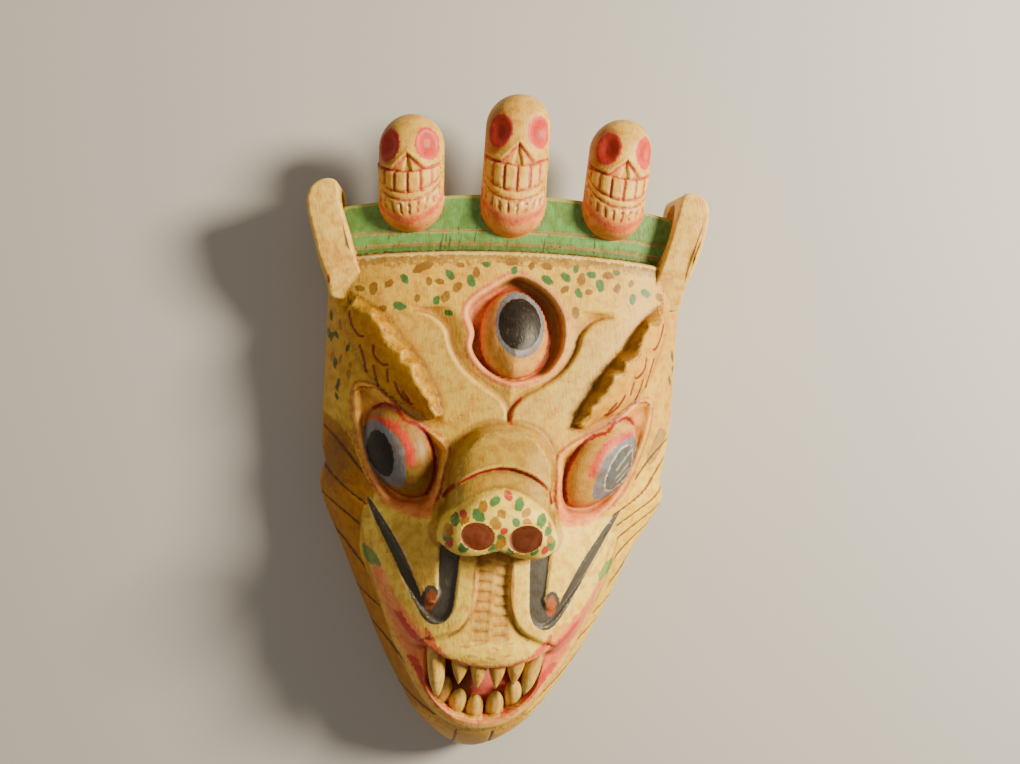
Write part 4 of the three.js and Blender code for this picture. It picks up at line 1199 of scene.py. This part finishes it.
# %% Ears, teeth and the bare back
coat("ear_blush", 8 - np.hypot(V - 84, (A - 98) * 1.2), (0.70, 0.28, 0.10), 8, 3, 0.3, "ear")
coat("ear_strokes", stroke([
    [(-103, 94), (-106, 86)], [(-104, 84), (-107, 77), (-105, 73)], [(-101, 76), (-104, 70)]], 0.9, U),
    CRIMSON, 0.5, 0.5, 0.8, "ear")
coat("tooth_root", stripe(V, -133, 4), (0.66, 0.25, 0.08), 3, 1, 0.5, "tooth")
tooth_wave = np.sin(U * 1.5 + 1.2 * np.sin(V * 0.35) + V * 0.12)
coat("tooth_streaks", tooth_wave * 2 - 0.5, (0.26, 0.12, 0.03), 1.2, 2.5, 0.6, "tooth")
print(len(coats), "coats in all")

# %% [markdown]
# ## Laying the coats in passes
# A material that read each coat by itself would be slow. Coats that nowhere meet can be laid in
# the same pass, as a painter does all the dots of the face at once: each vertex keeps the nearest of
# them. A coat goes in the first pass that is above everything it overlaps.

# %% Passes
GROUND = {
    "face": CREAM, "skull": BONE, "ear": (0.80, 0.55, 0.12), "tooth": IVORY,
    "nostril": (0.92, 0.60, 0.46), "scoop": (0.36, 0.22, 0.11), "cup": (0.56, 0.29, 0.06)}


def store(name, values, kind="FLOAT", domain="POINT"):
    """Keeps values on the mask, for the material to read."""
    kept = mask.data.attributes.new(name, kind, domain)
    field = "value" if kind == "FLOAT" else "vector"
    kept.data.foreach_set(field, np.asarray(values, np.float32).ravel())


store("ground", np.array([GROUND[name] for name in KINDS])[slots], "FLOAT_VECTOR", "FACE")
passes = []
for one in coats:
    covers = one[1] > -(one[3] + 0.8)
    below = [k for k, (_, covered) in enumerate(passes) if (covered & covers).any()]
    level = max(below, default=-1) + 1
    if level == len(passes):
        passes.append(([], np.zeros(count, bool)))
    passes[level][0].append(one)
    passes[level][1][covers] = True

for k, (members, _) in enumerate(passes):
    nearest_coat = np.argmax([one[1] for one in members], axis=0)
    within = np.max([one[1] for one in members], axis=0)
    shade, soft, wobble, strength = (
        np.array([one[i] for one in members])[nearest_coat] for i in (2, 3, 4, 5))
    store(f"pass_{k}_edge", np.column_stack([within / soft, 4 * wobble / soft, strength]), "FLOAT_VECTOR")
    store(f"pass_{k}_shade", shade, "FLOAT_VECTOR")
store("lock_gap", np.where((mane > 0) & TOUCHES["face"], mane_gap(U, V), 9))
store("crown_depth", np.where(TOUCHES["face"], ledge, -FAR))
print(len(coats), "coats in", len(passes), "passes")

# %% [markdown]
# ## Hollows and ridges
# Dirt and old varnish stay in hollows, and paint wears off ridges. Both are found by letting the
# surface relax a little, as if it melted: where a point sinks it was on a ridge, and where it rises it
# was in a hollow.

# %% Hollows and ridges of the surface
edge_ends = np.empty(len(mask.data.edges) * 2, np.int32)
mask.data.edges.foreach_get("vertices", edge_ends)
ends_a, ends_b = edge_ends[0::2], edge_ends[1::2]
neighbours = np.bincount(edge_ends, minlength=count)
FINE_TURN, BROAD_TURN = 2, 13
HIGHEST_RISE = 3


def relaxed(points):
    """Each point at the middle of its neighbours."""
    total = np.empty_like(points)
    for k in range(3):
        total[:, k] = np.bincount(ends_a, points[ends_b, k], count)
        total[:, k] += np.bincount(ends_b, points[ends_a, k], count)
    return total / neighbours[:, None]


normals = np.empty(count * 3)
mask.data.vertices.foreach_get("normal", normals)
normals = normals.reshape(-1, 3)
melted = moved * 1000
for turn in range(BROAD_TURN + 1):
    melted = relaxed(melted)
    if turn in (FINE_TURN, BROAD_TURN):
        rise = np.sum((melted - moved * 1000) * normals, axis=1)
        name = "fine_rise" if turn == FINE_TURN else "broad_rise"
        store(name, clamp(rise, -HIGHEST_RISE, HIGHEST_RISE))
print("hollows rise and ridges sink by, in mm:", round(float(rise.max()), 2), round(float(rise.min()), 2))

# %% [markdown]
# ## The painted finish
# One material reads all the coats. It works in millimetres, from the object's own coordinates, so the
# pattern stays on the wood. On top of the coats come the mane's cuts, the crown's cracks, mottling,
# pores, scratches, specks, dirt and worn ridges, and last a satin varnish.

# %% Helpers for material nodes
painted = bpy.data.materials.new("painted_wood")
painted.use_nodes = True
tree = painted.node_tree
shader = tree.nodes["Principled BSDF"]


def put(value, socket):
    if isinstance(value, bpy.types.NodeSocket):
        tree.links.new(value, socket)
    else:
        socket.default_value = value


def calc(operation, *values):
    made = tree.nodes.new("ShaderNodeMath")
    made.operation = operation
    for value, socket in zip(values, made.inputs):
        put(value, socket)
    return made.outputs[0]


def fade(low, high, x):
    """0 at low and 1 at high, smooth between."""
    made = tree.nodes.new("ShaderNodeMapRange")
    made.interpolation_type = "SMOOTHSTEP"
    put(x, made.inputs["Value"])
    made.inputs["From Min"].default_value = low
    made.inputs["From Max"].default_value = high
    return made.outputs["Result"]


def tint(factor, under, over, way="MIX"):
    made = tree.nodes.new("ShaderNodeMix")
    made.data_type = "RGBA"
    made.blend_type = way
    put(factor, made.inputs["Factor"])
    for value, name in ((under, "A"), (over, "B")):
        socket = next(s for s in made.inputs if s.name == name and s.type == "RGBA")
        put((*value, 1) if isinstance(value, tuple) else value, socket)
    return next(s for s in made.outputs if s.type == "RGBA")


def stained(base, stain):
    """A colour multiplied by a darker one, as a glaze does."""
    return tint(1.0, base, stain, "MULTIPLY")


def layer(name, output="Fac"):
    made = tree.nodes.new("ShaderNodeAttribute")
    made.attribute_name = name
    return made.outputs[output]


def parts(vector):
    made = tree.nodes.new("ShaderNodeSeparateXYZ")
    put(vector, made.inputs[0])
    return made.outputs


coordinates = tree.nodes.new("ShaderNodeTexCoord").outputs["Object"]


def in_mm(stretch=(1, 1, 1), turn=0.0):
    """Object coordinates in millimetres, with a pattern's own stretch and turn."""
    made = tree.nodes.new("ShaderNodeMapping")
    made.vector_type = "TEXTURE"
    made.inputs["Scale"].default_value = [0.001 * s for s in stretch]
    made.inputs["Rotation"].default_value = (0, 0, turn)
    put(coordinates, made.inputs["Vector"])
    return made.outputs["Vector"]


def noise(size, detail=2.0, stretch=(1, 1, 1), turn=0.0, twist=0.0):
    """Cloudy pattern with lumps of about the given size in millimetres."""
    made = tree.nodes.new("ShaderNodeTexNoise")
    put(in_mm(stretch, turn), made.inputs["Vector"])
    made.inputs["Scale"].default_value = 1 / size
    made.inputs["Detail"].default_value = detail
    made.inputs["Distortion"].default_value = twist
    return made.outputs["Fac"]


print("helpers for the material are ready")

# %% Brushing on the passes
wander = calc("SUBTRACT", noise(2.4, 3.0), 0.5)
ground = layer("ground", "Vector")
colour = tint(fade(0.35, 0.7, noise(26, 2.0)), ground, stained(ground, (0.90, 0.79, 0.70)))
for k in range(len(passes)):
    reach, unevenness, strength = parts(layer(f"pass_{k}_edge", "Vector"))
    cover = calc("MULTIPLY", fade(-1, 1, calc("MULTIPLY_ADD", wander, unevenness, reach)), strength)
    colour = tint(cover, colour, layer(f"pass_{k}_shade", "Vector"))
print("brushed on", len(passes), "passes")

# %% Cuts in the mane and cracks in the crown
lock_gap = layer("lock_gap")
lock_line = fade(1.0, 0.35, calc("ADD", lock_gap, calc("MULTIPLY", wander, 1.6)))
colour = tint(calc("MULTIPLY", lock_line, 0.85), colour, (0.10, 0.03, 0.012))
upright = fade(0.70, 0.74, noise(1.7, 1.0, (1, 14, 1), -0.05))
on_the_band = fade(-3, 0, layer("crown_depth"))
colour = tint(calc("MULTIPLY", calc("MULTIPLY", upright, on_the_band), 0.8), colour, (0.05, 0.06, 0.02))

# %% Age: mottling, pores, scratches, specks, dirt and worn ridges
fine_rise, broad_rise = layer("fine_rise"), layer("broad_rise")
mottle = noise(5, 5.0, twist=0.3)
colour = tint(fade(0.32, 0.62, mottle), stained(colour, (0.82, 0.67, 0.52)), colour)
pores = fade(0.56, 0.74, noise(0.8, 3.0, (1, 5, 1), 0.1))
colour = tint(calc("MULTIPLY", pores, 0.55), colour, stained(colour, (0.66, 0.50, 0.36)))
scratches = calc("MULTIPLY", fade(0.66, 0.71, noise(1.1, 2.0, (1, 9, 1), 0.25)), fade(0.42, 0.62, mottle))
colour = tint(calc("MULTIPLY", scratches, 0.4), colour, (0.26, 0.15, 0.05))
specks = calc("MULTIPLY", fade(0.67, 0.73, noise(1.2, 1.0)), fade(0.58, 0.42, mottle))
colour = tint(calc("MULTIPLY", specks, 0.65), colour, (0.15, 0.08, 0.03))
hollow_dirt = fade(0.05, 1.0, calc("MULTIPLY_ADD", mottle, 0.8, calc("SUBTRACT", broad_rise, 0.4)))
colour = tint(calc("MULTIPLY", hollow_dirt, 0.6), colour, stained(colour, (0.40, 0.25, 0.12)))
worn = fade(0.36, 0.56, calc("MULTIPLY_ADD", wander, 1.2, calc("MULTIPLY", fine_rise, -1.0)))
colour = tint(calc("MULTIPLY", worn, 0.3), colour, (0.76, 0.54, 0.12))
put(colour, shader.inputs["Base Color"])

# %% Varnish and the feel of the surface
put(calc("MULTIPLY_ADD", mottle, 0.3, 0.34), shader.inputs["Roughness"])
shader.inputs["Specular IOR Level"].default_value = 0.32
brushing = noise(1.4, 2.0, (1, 4, 1), 0.2)
height = calc("MULTIPLY_ADD", fade(1.0, 0.3, lock_gap), -1.2, brushing)
bump = tree.nodes.new("ShaderNodeBump")
bump.inputs["Distance"].default_value = 0.0003
bump.inputs["Strength"].default_value = 0.8
put(height, bump.inputs["Height"])
put(bump.outputs["Normal"], shader.inputs["Normal"])

mask.data.materials.clear()
mask.data.materials.append(painted)
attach(mask, "root")
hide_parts("carved_mask")
print("the finish has", len(tree.nodes), "nodes")

# %% [markdown]
# ## Camera, floor and lights
# The photograph looks almost straight at the mask. The mask lies on its rim, so the camera looks
# almost straight down on it. The floor is plain and pale. The key light is on the crown's side and to
# the right, where the photograph has it.

# %% Camera
FOCAL_PIXELS, PHOTO_WIDTH = 1150.0, 1020.0
SENSOR_WIDTH = 36
YAW, ROLL = math.radians(5), math.radians(4)
CAMERA_PLACE = (-55.82, 20.65, 725)
camera = bpy.data.objects.new("camera", bpy.data.cameras.new("camera"))
bpy.context.scene.collection.objects.link(camera)
camera.data.sensor_width = SENSOR_WIDTH
camera.data.lens = FOCAL_PIXELS / PHOTO_WIDTH * SENSOR_WIDTH
back = Vector((-math.sin(YAW), 0, math.cos(YAW)))
level_up = Vector((0, 1, 0))
level_right = level_up.cross(back)
up = math.cos(ROLL) * level_up - math.sin(ROLL) * level_right
right = math.cos(ROLL) * level_right + math.sin(ROLL) * level_up
eye = (Vector(CAMERA_PLACE) + Vector(SHIFT)) / 1000
camera.matrix_world = Matrix((
    (right.x, up.x, back.x, eye.x), (right.y, up.y, back.y, eye.y), (right.z, up.z, back.z, eye.z),
    (0, 0, 0, 1)))
bpy.context.scene.camera = camera

# %% Floor
floor_mesh = bmesh.new()
bmesh.ops.create_grid(floor_mesh, x_segments=1, y_segments=1, size=6)
bmesh.ops.translate(floor_mesh, verts=floor_mesh.verts, vec=(0, 0, -0.0005))
floor = solid(floor_mesh, "floor")
pale = bpy.data.materials.new("pale_floor")
pale.use_nodes = True
pale.node_tree.nodes["Principled BSDF"].inputs["Base Color"].default_value = (0.44, 0.44, 0.44, 1)
pale.node_tree.nodes["Principled BSDF"].inputs["Roughness"].default_value = 0.8
floor.data.materials.append(pale)

# %% Lights


def soft_light(name, place, size, power, colour, target=(0, 0, 0.05)):
    lamp = bpy.data.lights.new(name, "AREA")
    lamp.shape = "DISK"
    lamp.size = size
    lamp.energy = power
    lamp.color = colour
    made = bpy.data.objects.new(name, lamp)
    made.location = place
    aim = Vector(target) - Vector(place)
    made.rotation_euler = aim.to_track_quat("-Z", "Y").to_euler()
    bpy.context.scene.collection.objects.link(made)
    return made


soft_light("key", (1.0, 0.42, 0.85), 0.4, 56, (1.0, 0.87, 0.64))
soft_light("fill", (-0.7, 0.1, 1.2), 1.2, 3.4, (1.0, 0.80, 0.58))
world = bpy.data.worlds.new("studio")
world.use_nodes = True
world.node_tree.nodes["Background"].inputs["Color"].default_value = (1.0, 0.92, 0.80, 1)
world.node_tree.nodes["Background"].inputs["Strength"].default_value = 0.2
bpy.context.scene.world = world
